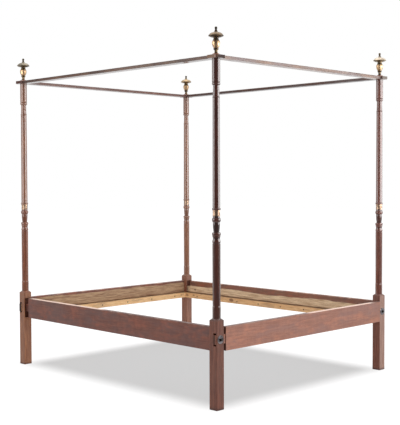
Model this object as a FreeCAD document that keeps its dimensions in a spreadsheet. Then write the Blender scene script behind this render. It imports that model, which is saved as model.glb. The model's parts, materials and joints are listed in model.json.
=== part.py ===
"""Four-post canopy bed frame in turned mahogany, as a parametric FreeCAD document.

The bed stands on the plane z = 0 with its centre line at x = 0, y = 0. X runs across the
bed, Y runs along it, and the front end is at -Y. Every length is in millimetres.
"""
import FreeCAD, Part

import os

import Sketcher

# Driving sizes
SIZES = {
    # Posts and their places
    "post_spacing_x": 1714.0,  # between post centres across the bed
    "post_spacing_y": 2051.0,  # between post centres along the bed
    "leg_side": 64.0,  # side of the square leg
    "leg_edge_round": 2.5,  # easing of the leg's corners
    "leg_height": 561.0,  # floor to the top of the turned shoulder
    "shoulder_rise": 15.0,  # height of the shoulder over the leg's corners
    "shoulder_swell": 1.4,
    # Lower post, from the shoulder up
    "band_radius": 26.0,
    "band_height": 71.0,
    "shaft_foot_radius": 24.7,
    "shaft_head_radius": 25.5,
    "shaft_step": 4.0,
    "shaft_length": 381.0,
    "quirk_radius": 23.8,
    "quirk_height": 3.0,
    "low_bead_radius": 26.1,
    "low_bead_height": 19.0,
    "cove_radius": 24.2,
    "cove_height": 20.0,
    "cove_hollow": 1.8,
    "fillet_radius": 25.1,
    "fillet_height": 7.0,
    "ring_radius": 28.0,
    "ring_height": 20.0,
    "vase_foot_radius": 17.8,
    "vase_head_radius": 22.2,
    "vase_height": 62.0,
    "vase_swell": 1.6,
    "bead_radius": 27.9,
    "bead_seat_radius": 23.0,
    "bead_height": 27.0,
    "post_head_radius": 22.6,
    "post_head_height": 10.0,
    # Brass collar and the spigot through it
    "collar_radius": 23.4,
    "collar_waist_radius": 22.7,
    "collar_lip": 4.0,
    "collar_height": 36.0,
    "collar_groove_radius": 21.4,
    "collar_groove_width": 3.0,
    "spigot_radius": 13.0,
    "spigot_length": 60.0,
    "spigot_clearance": 0.1,
    "socket_spare_depth": 2.0,
    # Upper post, from the collar up
    "upper_ring_radius": 27.4,
    "upper_ring_seat_radius": 23.4,
    "upper_ring_height": 14.0,
    "upper_shaft_foot_radius": 23.5,
    "upper_shaft_head_radius": 21.9,
    "upper_shaft_length": 666.0,
    "fine_ring_radius": 23.3,
    "fine_ring_seat_radius": 20.8,
    "fine_ring_height": 9.0,
    "neck_foot_radius": 20.6,
    "neck_head_radius": 18.9,
    "neck_height": 68.0,
    "capital_collar_radius": 25.9,
    "capital_collar_seat_radius": 22.4,
    "capital_collar_height": 20.0,
    "capital_radius": 25.3,
    "capital_height": 140.0,
    # Tester battens, cross halved at the corners
    "tester_width": 60.0,
    "tester_thickness": 20.0,
    "tester_tail": 47.0,  # batten end past the post centre
    "tester_edge_round": 1.5,
    "halving_clearance": 0.1,
    # Pin that holds the tester and the finial
    "pin_radius": 5.0,
    "pin_clearance": 0.1,
    "pin_post_depth": 50.0,
    "pin_finial_depth": 45.0,
    "pin_end_space": 3.0,
    # Finial with its wooden plinth
    "plinth_radius": 23.0,
    "plinth_height": 9.0,
    "plinth_round": 2.0,
    "urn_foot_radius": 15.0,
    "urn_foot_height": 3.0,
    "urn_stem_radius": 9.8,
    "urn_stem_flare": 5.0,
    "urn_stem_height": 15.0,
    "urn_collar_radius": 15.6,
    "urn_collar_seat_radius": 13.2,
    "urn_collar_height": 6.0,
    "urn_bulb_foot_radius": 14.6,
    "urn_bulb_radius": 24.6,
    "urn_bulb_height": 32.0,
    "urn_bulb_swell": 2.55,
    "urn_shoulder_radius": 20.0,
    "urn_shoulder_height": 13.0,
    "urn_shoulder_swell": 1.2,
    "urn_neck_foot_radius": 18.8,
    "urn_neck_radius": 14.8,
    "urn_neck_height": 15.0,
    "cap_waist_height": 2.0,
    "cap_under_sweep": 9.0,
    "cap_rim_radius": 45.2,
    "cap_rim_height": 4.5,
    "cap_dome_radius": 13.5,
    "cap_dome_height": 19.0,
    "cap_dome_swell": 5.0,
    "cap_spire_radius": 5.8,
    "cap_spire_height": 20.0,
    "cap_spire_hollow": 1.2,
    "cap_ball_radius": 8.6,
    "cap_stud_radius": 5.0,
    "cap_stud_length": 14.0,
    "stud_end_space": 1.5,
    # Rails
    "rail_height": 149.0,
    "rail_thickness": 30.0,
    "rail_bottom": 359.0,
    "rail_edge_round": 2.5,
    "front_rail_gap": 17.0,  # shoulder short of the front left post
    "side_rail_gap": 30.0,  # shoulders short of the two back posts
    # Through tenons of the end rails
    "tenon_height": 56.0,
    "tenon_thickness": 24.0,
    "tenon_face_step": 5.0,  # rail face to tenon face
    "tenon_proud": 5.0,
    "mortise_height": 80.0,
    "joint_clearance": 0.2,
    # Housings and tongues of the side rails
    "housing_width": 52.0,
    "housing_depth": 14.0,
    "tongue_height": 56.0,
    "tongue_thickness": 24.0,
    "tongue_depth": 30.0,
    # Bed bolts, one at each post
    "bolt_radius": 5.0,
    "bolt_clearance": 0.1,
    "bolt_head_side": 17.0,
    "bolt_head_height": 9.0,
    "bolt_head_chamfer": 2.0,
    "bolt_reach": 110.0,  # bolt end past the post's inner face
    "bolt_end_space": 6.0,
    "nut_distance": 92.0,  # nut centre past the post's inner face
    "nut_radius": 8.0,
    "nut_length": 25.0,
    "nut_recess": 1.5,
    "nut_clearance": 0.1,
    "washer_radius": 26.0,
    "washer_rim": 3.0,
    "washer_dish": 1.6,
    "washer_dish_radius": 21.0,
    "washer_boss_radius": 13.0,
    "washer_thickness": 5.0,
    # Cleats and their screws
    "cleat_height": 42.0,
    "cleat_thickness": 40.0,
    "cleat_rise": 3.0,  # cleat bottom over the rail bottom
    "cleat_edge_round": 1.5,
    "screw_length": 60.0,
    "screw_radius": 2.5,
    "screw_clearance": 0.1,
    "screw_head_radius": 5.5,
    "screw_head_height": 4.0,
    "screw_end_margin": 150.0,  # first screw from the cleat's end
    "side_screw_count": 8,
    "end_screw_count": 6,
    # One overrun for every cut that has to pass a face
    "cut_overrun": 2.0,
}

# Shares of the sizes that they follow
HALF_DIAGONAL_SHARE = 0.7071  # half the diagonal of a square of side one
RIM_ROUND_SHARE = 0.25  # how far a small disc's rounded rim stands out of its chamfer
FLARE_HOLLOW_SHARE = 0.2  # hollow of the urn's foot against its height
SWEEP_SWELL_SHARE = 0.2  # swell of the cap's underside against its height
RIM_SWELL_SHARE = 0.35  # swell of the cap's rim against its height
EDGE_STEP_SHARE = 0.5  # chamfered part of the washer's rim

doc = FreeCAD.newDocument("canopy_bed")
sheet = doc.addObject("Spreadsheet::Sheet", "Sizes")


class Size:
    """A length as a number, with the expression that gives it from the sheet."""

    def __init__(self, number, text):
        self.number = number
        self.text = text

    @staticmethod
    def of(other):
        return other if isinstance(other, Size) else Size(float(other), repr(float(other)))

    def joined(self, sign, other, number):
        return Size(number, "(%s %s %s)" % (self.text, sign, Size.of(other).text))

    def __add__(self, other):
        return self.joined("+", other, self.number + Size.of(other).number)

    def __sub__(self, other):
        return self.joined("-", other, self.number - Size.of(other).number)

    def __mul__(self, other):
        return self.joined("*", other, self.number * Size.of(other).number)

    def __truediv__(self, other):
        return self.joined("/", other, self.number / Size.of(other).number)

    def __rmul__(self, other):
        return Size.of(other) * self

    def __neg__(self):
        return Size.of(-1) * self


def fill_sheet():
    """Write each driving size into the sheet as a plain number with its alias."""
    for row, (alias, value) in enumerate(SIZES.items(), start=1):
        sheet.set("A%d" % row, alias.replace("_", " "))
        sheet.set("B%d" % row, str(value))
        sheet.setAlias("B%d" % row, alias)
    doc.recompute()


def size(alias):
    """The named size, read back from the sheet."""
    return Size(float(sheet.get(alias)), "Sizes.%s" % alias)


def count(alias):
    """The named count, read back from the sheet."""
    return int(sheet.get(alias))


def bind(item, name, value):
    """Bind one property of an object to a size."""
    item.setExpression(name, Size.of(value).text)


def bind_place(item, place, turn=None):
    """Bind an object's position to three sizes, with a fixed turn if one is given."""
    x, y, z = (Size.of(value) for value in place)
    turn = turn or FreeCAD.Rotation()
    item.Placement = FreeCAD.Placement(FreeCAD.Vector(x.number, y.number, z.number), turn)
    for axis, value in zip("xyz", (x, y, z)):
        bind(item, "Placement.Base.%s" % axis, value)


# Turns that lay a shape's own Z axis along another axis
ALONG_X = FreeCAD.Rotation(FreeCAD.Vector(0, 1, 0), 90)
ALONG_MINUS_X = FreeCAD.Rotation(FreeCAD.Vector(0, 1, 0), -90)
ALONG_Y = FreeCAD.Rotation(FreeCAD.Vector(1, 0, 0), -90)
ALONG_MINUS_Y = FreeCAD.Rotation(FreeCAD.Vector(1, 0, 0), 90)


def turn_along(axis, sign):
    """The turn that points a shape's own Z along plus or minus X or Y."""
    if axis == "x":
        return ALONG_X if sign > 0 else ALONG_MINUS_X
    return ALONG_Y if sign > 0 else ALONG_MINUS_Y


# Features inside a body
def new_body(node, place=(0, 0, 0), turn=None):
    """A body that carries the node's name and stands at its place."""
    body = doc.addObject("PartDesign::Body", node)
    body.Label = node
    bind_place(body, place, turn)
    return body


def block(body, name, low, high, subtract=False):
    """A box from its low corner to its high corner, added to the body or cut from it."""
    kind = "PartDesign::SubtractiveBox" if subtract else "PartDesign::AdditiveBox"
    box = body.newObject(kind, name)
    low = [Size.of(value) for value in low]
    high = [Size.of(value) for value in high]
    for prop, start, end in zip(("Length", "Width", "Height"), low, high):
        bind(box, prop, end - start)
    bind_place(box, low)
    return box


def rod(body, name, radius, length, place=(0, 0, 0), turn=None, subtract=False):
    """A cylinder along its own Z axis, added to the body or cut from it."""
    kind = "PartDesign::SubtractiveCylinder" if subtract else "PartDesign::AdditiveCylinder"
    cylinder = body.newObject(kind, name)
    bind(cylinder, "Radius", radius)
    bind(cylinder, "Height", length)
    bind_place(cylinder, place, turn)
    return cylinder


def cone_cut(body, name, start_radius, end_radius, length, place, turn):
    """A conical countersink cut from the body."""
    cone = body.newObject("PartDesign::SubtractiveCone", name)
    bind(cone, "Radius1", start_radius)
    bind(cone, "Radius2", end_radius)
    bind(cone, "Height", length)
    bind_place(cone, place, turn)
    return cone


def edges_along(feature, axis):
    """The names of a feature's straight edges that run along one axis."""
    doc.recompute()
    names = []
    for index, edge in enumerate(feature.Shape.Edges, start=1):
        if edge.Curve.TypeId != "Part::GeomLine":
            continue
        if edge.Curve.Direction.cross(axis).Length < 1e-6:
            names.append("Edge%d" % index)
    return names


def ease_edges(body, feature, axis, radius):
    """Round a feature's long edges."""
    fillet = body.newObject("PartDesign::Fillet", "eased_edges")
    fillet.Base = (feature, edges_along(feature, axis))
    bind(fillet, "Radius", radius)
    return fillet


def origin_plane(body, role):
    """One of the body's own origin planes."""
    return next(item for item in body.Origin.OriginFeatures if item.Role == role)


def outline(body, name, points):
    """A closed sketch on the XZ plane, its corners bound to sizes.

    Each point is (radius, height) or (radius, height, swell): with a swell, an arc that
    stands out from the axis by that much leads to the point, or, where the swell is
    marked hollow, one that bends in towards the axis.
    """
    sketch = body.newObject("Sketcher::SketchObject", name)
    sketch.AttachmentSupport = [(origin_plane(body, "XZ_Plane"), "")]
    sketch.MapMode = "FlatFace"
    corners = [(Size.of(point[0]), Size.of(point[1])) for point in points]
    for index, point in enumerate(points):
        start, end = corners[index - 1], corners[index]
        first = FreeCAD.Vector(start[0].number, start[1].number, 0)
        last = FreeCAD.Vector(end[0].number, end[1].number, 0)
        if len(point) == 2:
            sketch.addGeometry(Part.LineSegment(first, last), False)
            continue
        swell = point[2]
        chord = last - first
        side = FreeCAD.Vector(chord.y, -chord.x, 0).normalize()
        if side.x < 0:
            side = -side
        if isinstance(swell, Hollow):
            side = -side
            swell = swell.depth
        middle = (first + last) * 0.5 + side * swell.number
        sketch.addGeometry(Part.Arc(first, middle, last), False)
        wide, tall = end[0] - start[0], end[1] - start[1]
        bow = (wide * wide + tall * tall) / (8 * swell) + swell / 2
        radius = sketch.addConstraint(Sketcher.Constraint("Radius", index, bow.number))
        bind(sketch, "Constraints[%d]" % radius, bow)
    for index, corner in enumerate(corners):
        tail = arc_end(sketch, index, corner, last=True)
        following = (index + 1) % len(corners)
        head = arc_end(sketch, following, corner, last=False)
        sketch.addConstraint(Sketcher.Constraint("Coincident", index, tail, following, head))
        place_vertex(sketch, index, tail, corner)
    return sketch


class Hollow:
    """The depth of an arc that bends in towards the axis."""

    def __init__(self, depth):
        self.depth = depth


def arc_end(sketch, index, corner, last):
    """Which end of a sketch line or arc lies at its start or at its last corner."""
    if isinstance(sketch.Geometry[index], Part.LineSegment):
        return 2 if last else 1
    target = FreeCAD.Vector(corner[0].number, corner[1].number, 0)
    starts_there = (sketch.getPoint(index, 1) - target).Length
    ends_there = (sketch.getPoint(index, 2) - target).Length
    return 1 if starts_there < ends_there else 2


def place_vertex(sketch, index, vertex, corner):
    """Fix one sketch vertex at its radius and height."""
    radius, height = corner
    if radius.number == 0:
        sketch.addConstraint(Sketcher.Constraint("PointOnObject", index, vertex, -2))
    else:
        across = sketch.addConstraint(
            Sketcher.Constraint("DistanceX", -1, 1, index, vertex, radius.number))
        bind(sketch, "Constraints[%d]" % across, radius)
    if height.number == 0:
        sketch.addConstraint(Sketcher.Constraint("PointOnObject", index, vertex, -1))
    else:
        up = sketch.addConstraint(
            Sketcher.Constraint("DistanceY", -1, 1, index, vertex, height.number))
        bind(sketch, "Constraints[%d]" % up, height)


def turned(body, name, points, cut=False):
    """Turn an outline about the body's Z axis, as on a lathe, to add or to cut."""
    sketch = outline(body, name + "_outline", points)
    kind = "PartDesign::Groove" if cut else "PartDesign::Revolution"
    feature = body.newObject(kind, name)
    feature.Profile = sketch
    feature.ReferenceAxis = (sketch, ["V_Axis"])
    feature.Angle = 360
    return feature


def same_corner(point, corner):
    """Whether a corner repeats the one before it."""
    return point[0].text == corner[0].text and point[1].text == corner[1].text


class Profile:
    """An outline built from one end to the other as a turner reads it."""

    def __init__(self, height):
        self.height = Size.of(height)
        self.points = []

    def at(self, radius, swell=None):
        """A corner at the present height."""
        corner = (Size.of(radius), self.height)
        if self.points and same_corner(self.points[-1], corner):
            return self
        self.points.append(corner if swell is None else corner + (swell,))
        return self

    def rise(self, height, radius, swell=None):
        """A corner higher up."""
        self.height = self.height + height
        return self.at(radius, swell)

    def bead(self, height, seat_radius, radius):
        """A bead that stands out of its seat, with a fillet above it."""
        self.at(seat_radius)
        return self.rise(height, seat_radius, Size.of(radius) - seat_radius)


# Corners of the bed: name, side across the bed, side along it
CORNERS = (
    ("front_left", -1, -1),
    ("front_right", 1, -1),
    ("back_left", -1, 1),
    ("back_right", 1, 1),
)

fill_sheet()

# Places that several pieces share
half_x = size("post_spacing_x") / 2
half_y = size("post_spacing_y") / 2
half_leg = size("leg_side") / 2
overrun = size("cut_overrun")
rail_top = size("rail_bottom") + size("rail_height")
rail_middle = size("rail_bottom") + size("rail_height") / 2
bolt_hole = size("bolt_radius") + size("bolt_clearance")
pin_hole = size("pin_radius") + size("pin_clearance")
spigot_hole = size("spigot_radius") + size("spigot_clearance")
inner_x = half_x - half_leg
inner_y = half_y - half_leg
end_rail_inside = half_y + half_leg - size("rail_thickness")
side_rail_inside = half_x - size("rail_thickness") / 2
end_cleat_inside = end_rail_inside - size("cleat_thickness")
side_cleat_inside = side_rail_inside - size("cleat_thickness")
cleat_bottom = size("rail_bottom") + size("cleat_rise")
cleat_top = cleat_bottom + size("cleat_height")
cleat_middle = cleat_bottom + size("cleat_height") / 2


def lower_post_profile():
    """Outline of the turned part of the lower post, ending at its head."""
    start = size("leg_height") - size("shoulder_rise") - size("shoulder_rise")
    profile = Profile(start)
    profile.at(0).at(size("band_radius"))
    profile.rise(size("shoulder_rise") * 2 + size("band_height"), size("band_radius"))
    profile.rise(size("shaft_step"), size("shaft_foot_radius"))
    profile.rise(size("shaft_length"), size("shaft_head_radius"))
    profile.at(size("quirk_radius")).rise(size("quirk_height"), size("quirk_radius"))
    profile.bead(size("low_bead_height"), size("quirk_radius"), size("low_bead_radius"))
    profile.at(size("cove_radius"))
    profile.rise(size("cove_height"), size("cove_radius"), Hollow(size("cove_hollow")))
    profile.at(size("fillet_radius")).rise(size("fillet_height"), size("fillet_radius"))
    profile.bead(size("ring_height"), size("cove_radius"), size("ring_radius"))
    profile.at(size("vase_foot_radius"))
    profile.rise(size("vase_height"), size("vase_head_radius"), size("vase_swell"))
    profile.bead(size("bead_height"), size("bead_seat_radius"), size("bead_radius"))
    profile.at(size("post_head_radius"))
    profile.rise(size("post_head_height"), size("post_head_radius"))
    profile.at(0)
    return profile


post_head = lower_post_profile().height


def upper_post_profile():
    """Outline of the upper post with its spigot, ending under the tester."""
    profile = Profile(post_head - size("spigot_length"))
    profile.at(0).at(size("spigot_radius"))
    profile.rise(size("spigot_length") + size("collar_height"), size("spigot_radius"))
    seat = size("upper_ring_seat_radius")
    profile.bead(size("upper_ring_height"), seat, size("upper_ring_radius"))
    profile.at(size("upper_shaft_foot_radius"))
    profile.rise(size("upper_shaft_length"), size("upper_shaft_head_radius"))
    fine_seat = size("fine_ring_seat_radius")
    profile.bead(size("fine_ring_height"), fine_seat, size("fine_ring_radius"))
    profile.at(size("neck_foot_radius"))
    profile.rise(size("neck_height"), size("neck_head_radius"))
    collar_seat = size("capital_collar_seat_radius")
    profile.bead(size("capital_collar_height"), collar_seat, size("capital_collar_radius"))
    profile.at(size("capital_radius"))
    profile.rise(size("capital_height"), size("capital_radius"))
    profile.at(0)
    return profile


tester_bottom = upper_post_profile().height
tester_top = tester_bottom + size("tester_thickness")
plinth_top = tester_top + size("plinth_height")


def lower_post(corner, side, end):
    """Square leg, turned shoulder and shaft, cut for the two rails and the bolt."""
    body = new_body("lower_post_" + corner, (side * half_x, end * half_y, 0))
    leg = block(body, "leg", (-half_leg, -half_leg, 0), (half_leg, half_leg, size("leg_height")))
    ease_edges(body, leg, FreeCAD.Vector(0, 0, 1), size("leg_edge_round"))

    # The shoulder falls from the band to the leg's corners
    half_diagonal = size("leg_side") * HALF_DIAGONAL_SHARE
    fall = size("shoulder_rise") * (size("leg_side") - size("band_radius"))
    fall = fall / (half_diagonal - size("band_radius"))
    turned(body, "shoulder", [
        (size("band_radius"), size("leg_height")),
        (size("leg_side"), size("leg_height") - fall, size("shoulder_swell")),
        (size("leg_side"), size("leg_height") + overrun),
        (size("band_radius"), size("leg_height") + overrun),
    ], cut=True)
    turned(body, "turning", lower_post_profile().points)

    # Through mortise for the end rail's tenon
    outer = half_leg - size("tenon_face_step") + size("joint_clearance")
    inner = outer - size("tenon_thickness") - 2 * size("joint_clearance")
    near, far = (inner, outer) if end > 0 else (-outer, -inner)
    low = rail_middle - size("mortise_height") / 2
    high = rail_middle + size("mortise_height") / 2
    reach = half_leg + overrun
    block(body, "mortise", (-reach, near, low), (reach, far, high), subtract=True)

    # Housing and mortise for the side rail, in the face that looks along the bed
    mouth = half_leg + overrun
    near, far = side_cut(end, half_leg - size("housing_depth"), mouth)
    half_width = size("housing_width") / 2
    block(body, "housing", (-half_width, near, size("rail_bottom")),
          (half_width, far, rail_top), subtract=True)
    near, far = side_cut(end, half_leg - size("tongue_depth"), mouth)
    half_width = size("tongue_thickness") / 2 + size("joint_clearance")
    half_height = size("tongue_height") / 2 + size("joint_clearance")
    block(body, "tongue_mortise", (-half_width, near, rail_middle - half_height),
          (half_width, far, rail_middle + half_height), subtract=True)

    rod(body, "bolt_hole", bolt_hole, 2 * reach, (0, -reach, rail_middle), ALONG_Y,
        subtract=True)
    depth = size("spigot_length") + size("socket_spare_depth")
    rod(body, "socket", spigot_hole, depth + overrun, (0, 0, post_head - depth), subtract=True)
    return body


def side_cut(end, inner, outer):
    """Low and high bound of a cut into the face that looks towards the bed's middle."""
    return (-outer, -inner) if end > 0 else (inner, outer)


def brass_collar(corner, side, end):
    """Brass ring between the two halves of a post, with a groove round its middle."""
    body = new_body("brass_collar_" + corner, (side * half_x, end * half_y, 0))
    lip = size("collar_lip")
    groove, waist = size("collar_groove_width"), size("collar_waist_radius")
    band = (size("collar_height") - 2 * lip - groove) / 2
    profile = Profile(post_head)
    profile.at(spigot_hole).at(size("collar_radius"))
    profile.rise(lip, size("collar_radius"))
    profile.at(waist).rise(band, waist)
    profile.at(size("collar_groove_radius")).rise(groove, size("collar_groove_radius"))
    profile.at(waist).rise(band, waist)
    profile.at(size("collar_radius")).rise(lip, size("collar_radius"))
    profile.at(spigot_hole)
    turned(body, "ring", profile.points)
    return body


def upper_post(corner, side, end):
    """Turned upper post with its spigot and the hole for the tester pin."""
    body = new_body("upper_post_" + corner, (side * half_x, end * half_y, 0))
    turned(body, "turning", upper_post_profile().points)
    depth = size("pin_post_depth")
    rod(body, "pin_hole", pin_hole, depth + overrun, (0, 0, tester_bottom - depth),
        subtract=True)
    return body


def tester_pin(corner, side, end):
    """Steel pin from the post through both battens and the plinth into the finial."""
    pin = doc.addObject("Part::Cylinder", "tester_pin_" + corner)
    pin.Label = "tester_pin_" + corner
    bottom = tester_bottom - size("pin_post_depth")
    bind(pin, "Radius", size("pin_radius"))
    bind(pin, "Height", plinth_top + size("pin_finial_depth") - bottom)
    bind_place(pin, (side * half_x, end * half_y, bottom))
    return pin


def finial_plinth(corner, side, end):
    """Small turned wooden disc under the finial."""
    body = new_body("finial_plinth_" + corner, (side * half_x, end * half_y, 0))
    ease = size("plinth_round")
    profile = Profile(tester_top)
    profile.at(pin_hole).at(size("plinth_radius"))
    profile.rise(size("plinth_height") - ease, size("plinth_radius"))
    profile.rise(ease, size("plinth_radius") - ease, ease * RIM_ROUND_SHARE)
    profile.at(pin_hole)
    turned(body, "disc", profile.points)
    return body


def urn_profile():
    """Outline of the finial's urn, from its foot to its neck."""
    profile = Profile(plinth_top)
    profile.at(0).at(size("urn_foot_radius"))
    profile.rise(size("urn_foot_height"), size("urn_foot_radius"))
    flare = Hollow(size("urn_stem_flare") * FLARE_HOLLOW_SHARE)
    profile.rise(size("urn_stem_flare"), size("urn_stem_radius"), flare)
    profile.rise(size("urn_stem_height"), size("urn_stem_radius"))
    collar, seat = size("urn_collar_radius"), size("urn_collar_seat_radius")
    profile.bead(size("urn_collar_height"), seat, collar)
    profile.rise(size("urn_collar_height"), seat, collar - seat)
    profile.at(size("urn_bulb_foot_radius"))
    profile.rise(size("urn_bulb_height"), size("urn_bulb_radius"), size("urn_bulb_swell"))
    shoulder = size("urn_shoulder_height")
    profile.rise(shoulder, size("urn_shoulder_radius"), size("urn_shoulder_swell"))
    profile.at(size("urn_neck_foot_radius")).rise(size("urn_neck_height"), size("urn_neck_radius"))
    profile.at(0)
    return profile


urn_top = urn_profile().height


def finial_urn(corner, side, end):
    """Brass urn of the finial, bored for the pin and for the cap's stud."""
    body = new_body("finial_urn_" + corner, (side * half_x, end * half_y, 0))
    turned(body, "urn", urn_profile().points)
    depth = size("pin_finial_depth") + size("pin_end_space")
    rod(body, "pin_bore", pin_hole, depth + overrun, (0, 0, plinth_top - overrun),
        subtract=True)
    stud_hole = size("cap_stud_radius") + size("pin_clearance")
    depth = size("cap_stud_length") + size("stud_end_space")
    rod(body, "stud_bore", stud_hole, depth + overrun, (0, 0, urn_top - depth), subtract=True)
    return body


def finial_cap(corner, side, end):
    """Wide domed cap of the finial with its little ball."""
    body = new_body("finial_cap_" + corner, (side * half_x, end * half_y, 0))
    profile = Profile(urn_top)
    profile.at(0).at(size("urn_neck_radius"))
    profile.rise(size("cap_waist_height"), size("urn_neck_radius"))
    sweep = size("cap_under_sweep")
    profile.rise(sweep, size("cap_rim_radius"), sweep * SWEEP_SWELL_SHARE)
    rim = size("cap_rim_height")
    profile.rise(rim, size("cap_rim_radius"), rim * RIM_SWELL_SHARE)
    profile.rise(size("cap_dome_height"), size("cap_dome_radius"), size("cap_dome_swell"))
    hollow = Hollow(size("cap_spire_hollow"))
    profile.rise(size("cap_spire_height"), size("cap_spire_radius"), hollow)
    profile.at(0)
    turned(body, "cap", profile.points)
    stud = size("cap_stud_length")
    rod(body, "stud", size("cap_stud_radius"), stud + overrun, (0, 0, urn_top - stud))
    ball = body.newObject("PartDesign::AdditiveSphere", "ball")
    bind(ball, "Radius", size("cap_ball_radius"))
    bind_place(ball, (0, 0, profile.height + size("cap_ball_radius") * HALF_DIAGONAL_SHARE))
    return body


def bed_bolt(corner, side, end):
    """Square-headed iron bolt that pulls the side rail to the post."""
    face = half_y + half_leg + size("washer_thickness")
    place = (side * half_x, end * face, rail_middle)
    body = new_body("bed_bolt_" + corner, place, turn_along("y", end))
    half_head = size("bolt_head_side") / 2
    head = block(body, "head", (-half_head, -half_head, 0),
                 (half_head, half_head, size("bolt_head_height")))
    doc.recompute()
    top_edges = []
    for index, edge in enumerate(head.Shape.Edges, start=1):
        if edge.BoundBox.ZMin > size("bolt_head_height").number / 2:
            top_edges.append("Edge%d" % index)
    chamfer = body.newObject("PartDesign::Chamfer", "head_chamfer")
    chamfer.Base = (head, top_edges)
    bind(chamfer, "Size", size("bolt_head_chamfer"))
    length = size("washer_thickness") + size("leg_side") + size("bolt_reach")
    rod(body, "shank", size("bolt_radius"), length + overrun, (0, 0, -length))
    return body


def bolt_washer(corner, side, end):
    """Dished round washer under a bolt head."""
    place = (side * half_x, end * (half_y + half_leg), rail_middle)
    body = new_body("bolt_washer_" + corner, place, turn_along("y", end))
    floor = size("washer_rim") - size("washer_dish")
    profile = Profile(0)
    profile.at(bolt_hole).at(size("washer_radius"))
    ease = size("washer_rim") * EDGE_STEP_SHARE
    profile.rise(size("washer_rim") - ease, size("washer_radius"))
    profile.rise(ease, size("washer_radius") - ease)
    profile.at(size("washer_dish_radius"))
    profile.rise(floor - size("washer_rim"), size("washer_dish_radius") - ease)
    profile.at(size("washer_boss_radius") + ease)
    profile.rise(size("washer_thickness") - floor, size("washer_boss_radius"))
    profile.at(bolt_hole)
    turned(body, "dish", profile.points)
    return body


def rail_nuts():
    """Four barrel nuts in the side rails, bored across for the bolts."""
    nuts = []
    for corner, side, end in CORNERS:
        y = end * (inner_y - size("nut_distance"))
        barrel = doc.addObject("Part::Cylinder", "nut_barrel_" + corner)
        bind(barrel, "Radius", size("nut_radius"))
        bind(barrel, "Height", size("nut_length"))
        start = side_rail_inside + size("nut_recess")
        bind_place(barrel, (side * start, y, rail_middle), turn_along("x", side))
        hole = doc.addObject("Part::Cylinder", "nut_hole_" + corner)
        bind(hole, "Radius", bolt_hole)
        bind(hole, "Height", 2 * size("nut_radius") + 2 * overrun)
        bind_place(hole, (side * half_x, y - size("nut_radius") - overrun, rail_middle), ALONG_Y)
        nut = doc.addObject("Part::Cut", "nut_" + corner)
        nut.Base = barrel
        nut.Tool = hole
        nuts.append(nut)
    return group("rail_nuts", nuts)


def group(node, items):
    """Identical fasteners as one node of separate solids."""
    compound = doc.addObject("Part::Compound", node)
    compound.Label = node
    compound.Links = items
    return compound


def end_rail(node, end, left_gap, right_gap):
    """Rail across the bed, flush with the posts' outer faces, with through tenons."""
    body = new_body(node)
    outer = half_y + half_leg
    near, far = band(end, end_rail_inside, outer)
    left = -inner_x + left_gap
    right = inner_x - right_gap
    plank = block(body, "plank", (left, near, size("rail_bottom")), (right, far, rail_top))
    ease_edges(body, plank, FreeCAD.Vector(1, 0, 0), size("rail_edge_round"))
    tenon_outer = outer - size("tenon_face_step")
    near, far = band(end, tenon_outer - size("tenon_thickness"), tenon_outer)
    half_height = size("tenon_height") / 2
    tip = half_x + half_leg + size("tenon_proud")
    block(body, "tenons", (-tip, near, rail_middle - half_height),
          (tip, far, rail_middle + half_height))
    for side in (-1, 1):
        start = near - overrun
        length = size("tenon_thickness") + 2 * overrun
        rod(body, "bolt_hole", bolt_hole, length, (side * half_x, start, rail_middle), ALONG_Y,
            subtract=True)
    for x in screw_places(inner_x, count("end_screw_count")):
        pilot_hole(body, (x, end * end_rail_inside, cleat_middle), "y", end)
    return body


def band(end, inner, outer):
    """Low and high bound of a stretch that lies on one side of the middle."""
    return (inner, outer) if end > 0 else (-outer, -inner)


def side_rail(node, side):
    """Rail along the bed, centred on the posts, with a tongue at each end."""
    body = new_body(node)
    near, far = band(side, side_rail_inside, side_rail_inside + size("rail_thickness"))
    front = -(inner_y + size("housing_depth"))
    back = inner_y - size("side_rail_gap")
    plank = block(body, "plank", (near, front, size("rail_bottom")), (far, back, rail_top))
    ease_edges(body, plank, FreeCAD.Vector(0, 1, 0), size("rail_edge_round"))
    half_height = size("tongue_height") / 2
    inner = half_x - size("tongue_thickness") / 2
    near, far = band(side, inner, inner + size("tongue_thickness"))
    tip = inner_y + size("tongue_depth") - size("joint_clearance")
    block(body, "tongues", (near, -tip, rail_middle - half_height),
          (far, tip, rail_middle + half_height))
    for end in (-1, 1):
        length = tip - inner_y + size("bolt_reach") + size("bolt_end_space") + overrun
        place = (side * half_x, end * (tip + overrun), rail_middle)
        rod(body, "bolt_hole", bolt_hole, length, place, turn_along("y", -end), subtract=True)
        depth = size("nut_length") + size("nut_recess")
        place = (side * (side_rail_inside - overrun), end * (inner_y - size("nut_distance")),
                 rail_middle)
        rod(body, "nut_hole", size("nut_radius") + size("nut_clearance"), depth + overrun,
            place, turn_along("x", side), subtract=True)
    for y in screw_places(end_cleat_inside, count("side_screw_count")):
        pilot_hole(body, (side * side_rail_inside, y, cleat_middle), "x", side)
    return body


def screw_places(cleat_end, number):
    """Places of a cleat's screws along it, evenly spaced between the end margins."""
    first = cleat_end - size("screw_end_margin")
    return [first * (2 * index / (number - 1) - 1) for index in range(number)]


def pilot_hole(body, place, axis, sign):
    """Screw hole in a rail, from its inner face."""
    depth = size("screw_length") - size("cleat_thickness") + size("screw_clearance")
    x, y, z = place
    start = (x - sign * overrun, y, z) if axis == "x" else (x, y - sign * overrun, z)
    radius = size("screw_radius") + size("screw_clearance")
    rod(body, "pilot_hole", radius, depth + overrun, start, turn_along(axis, sign),
        subtract=True)


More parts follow.
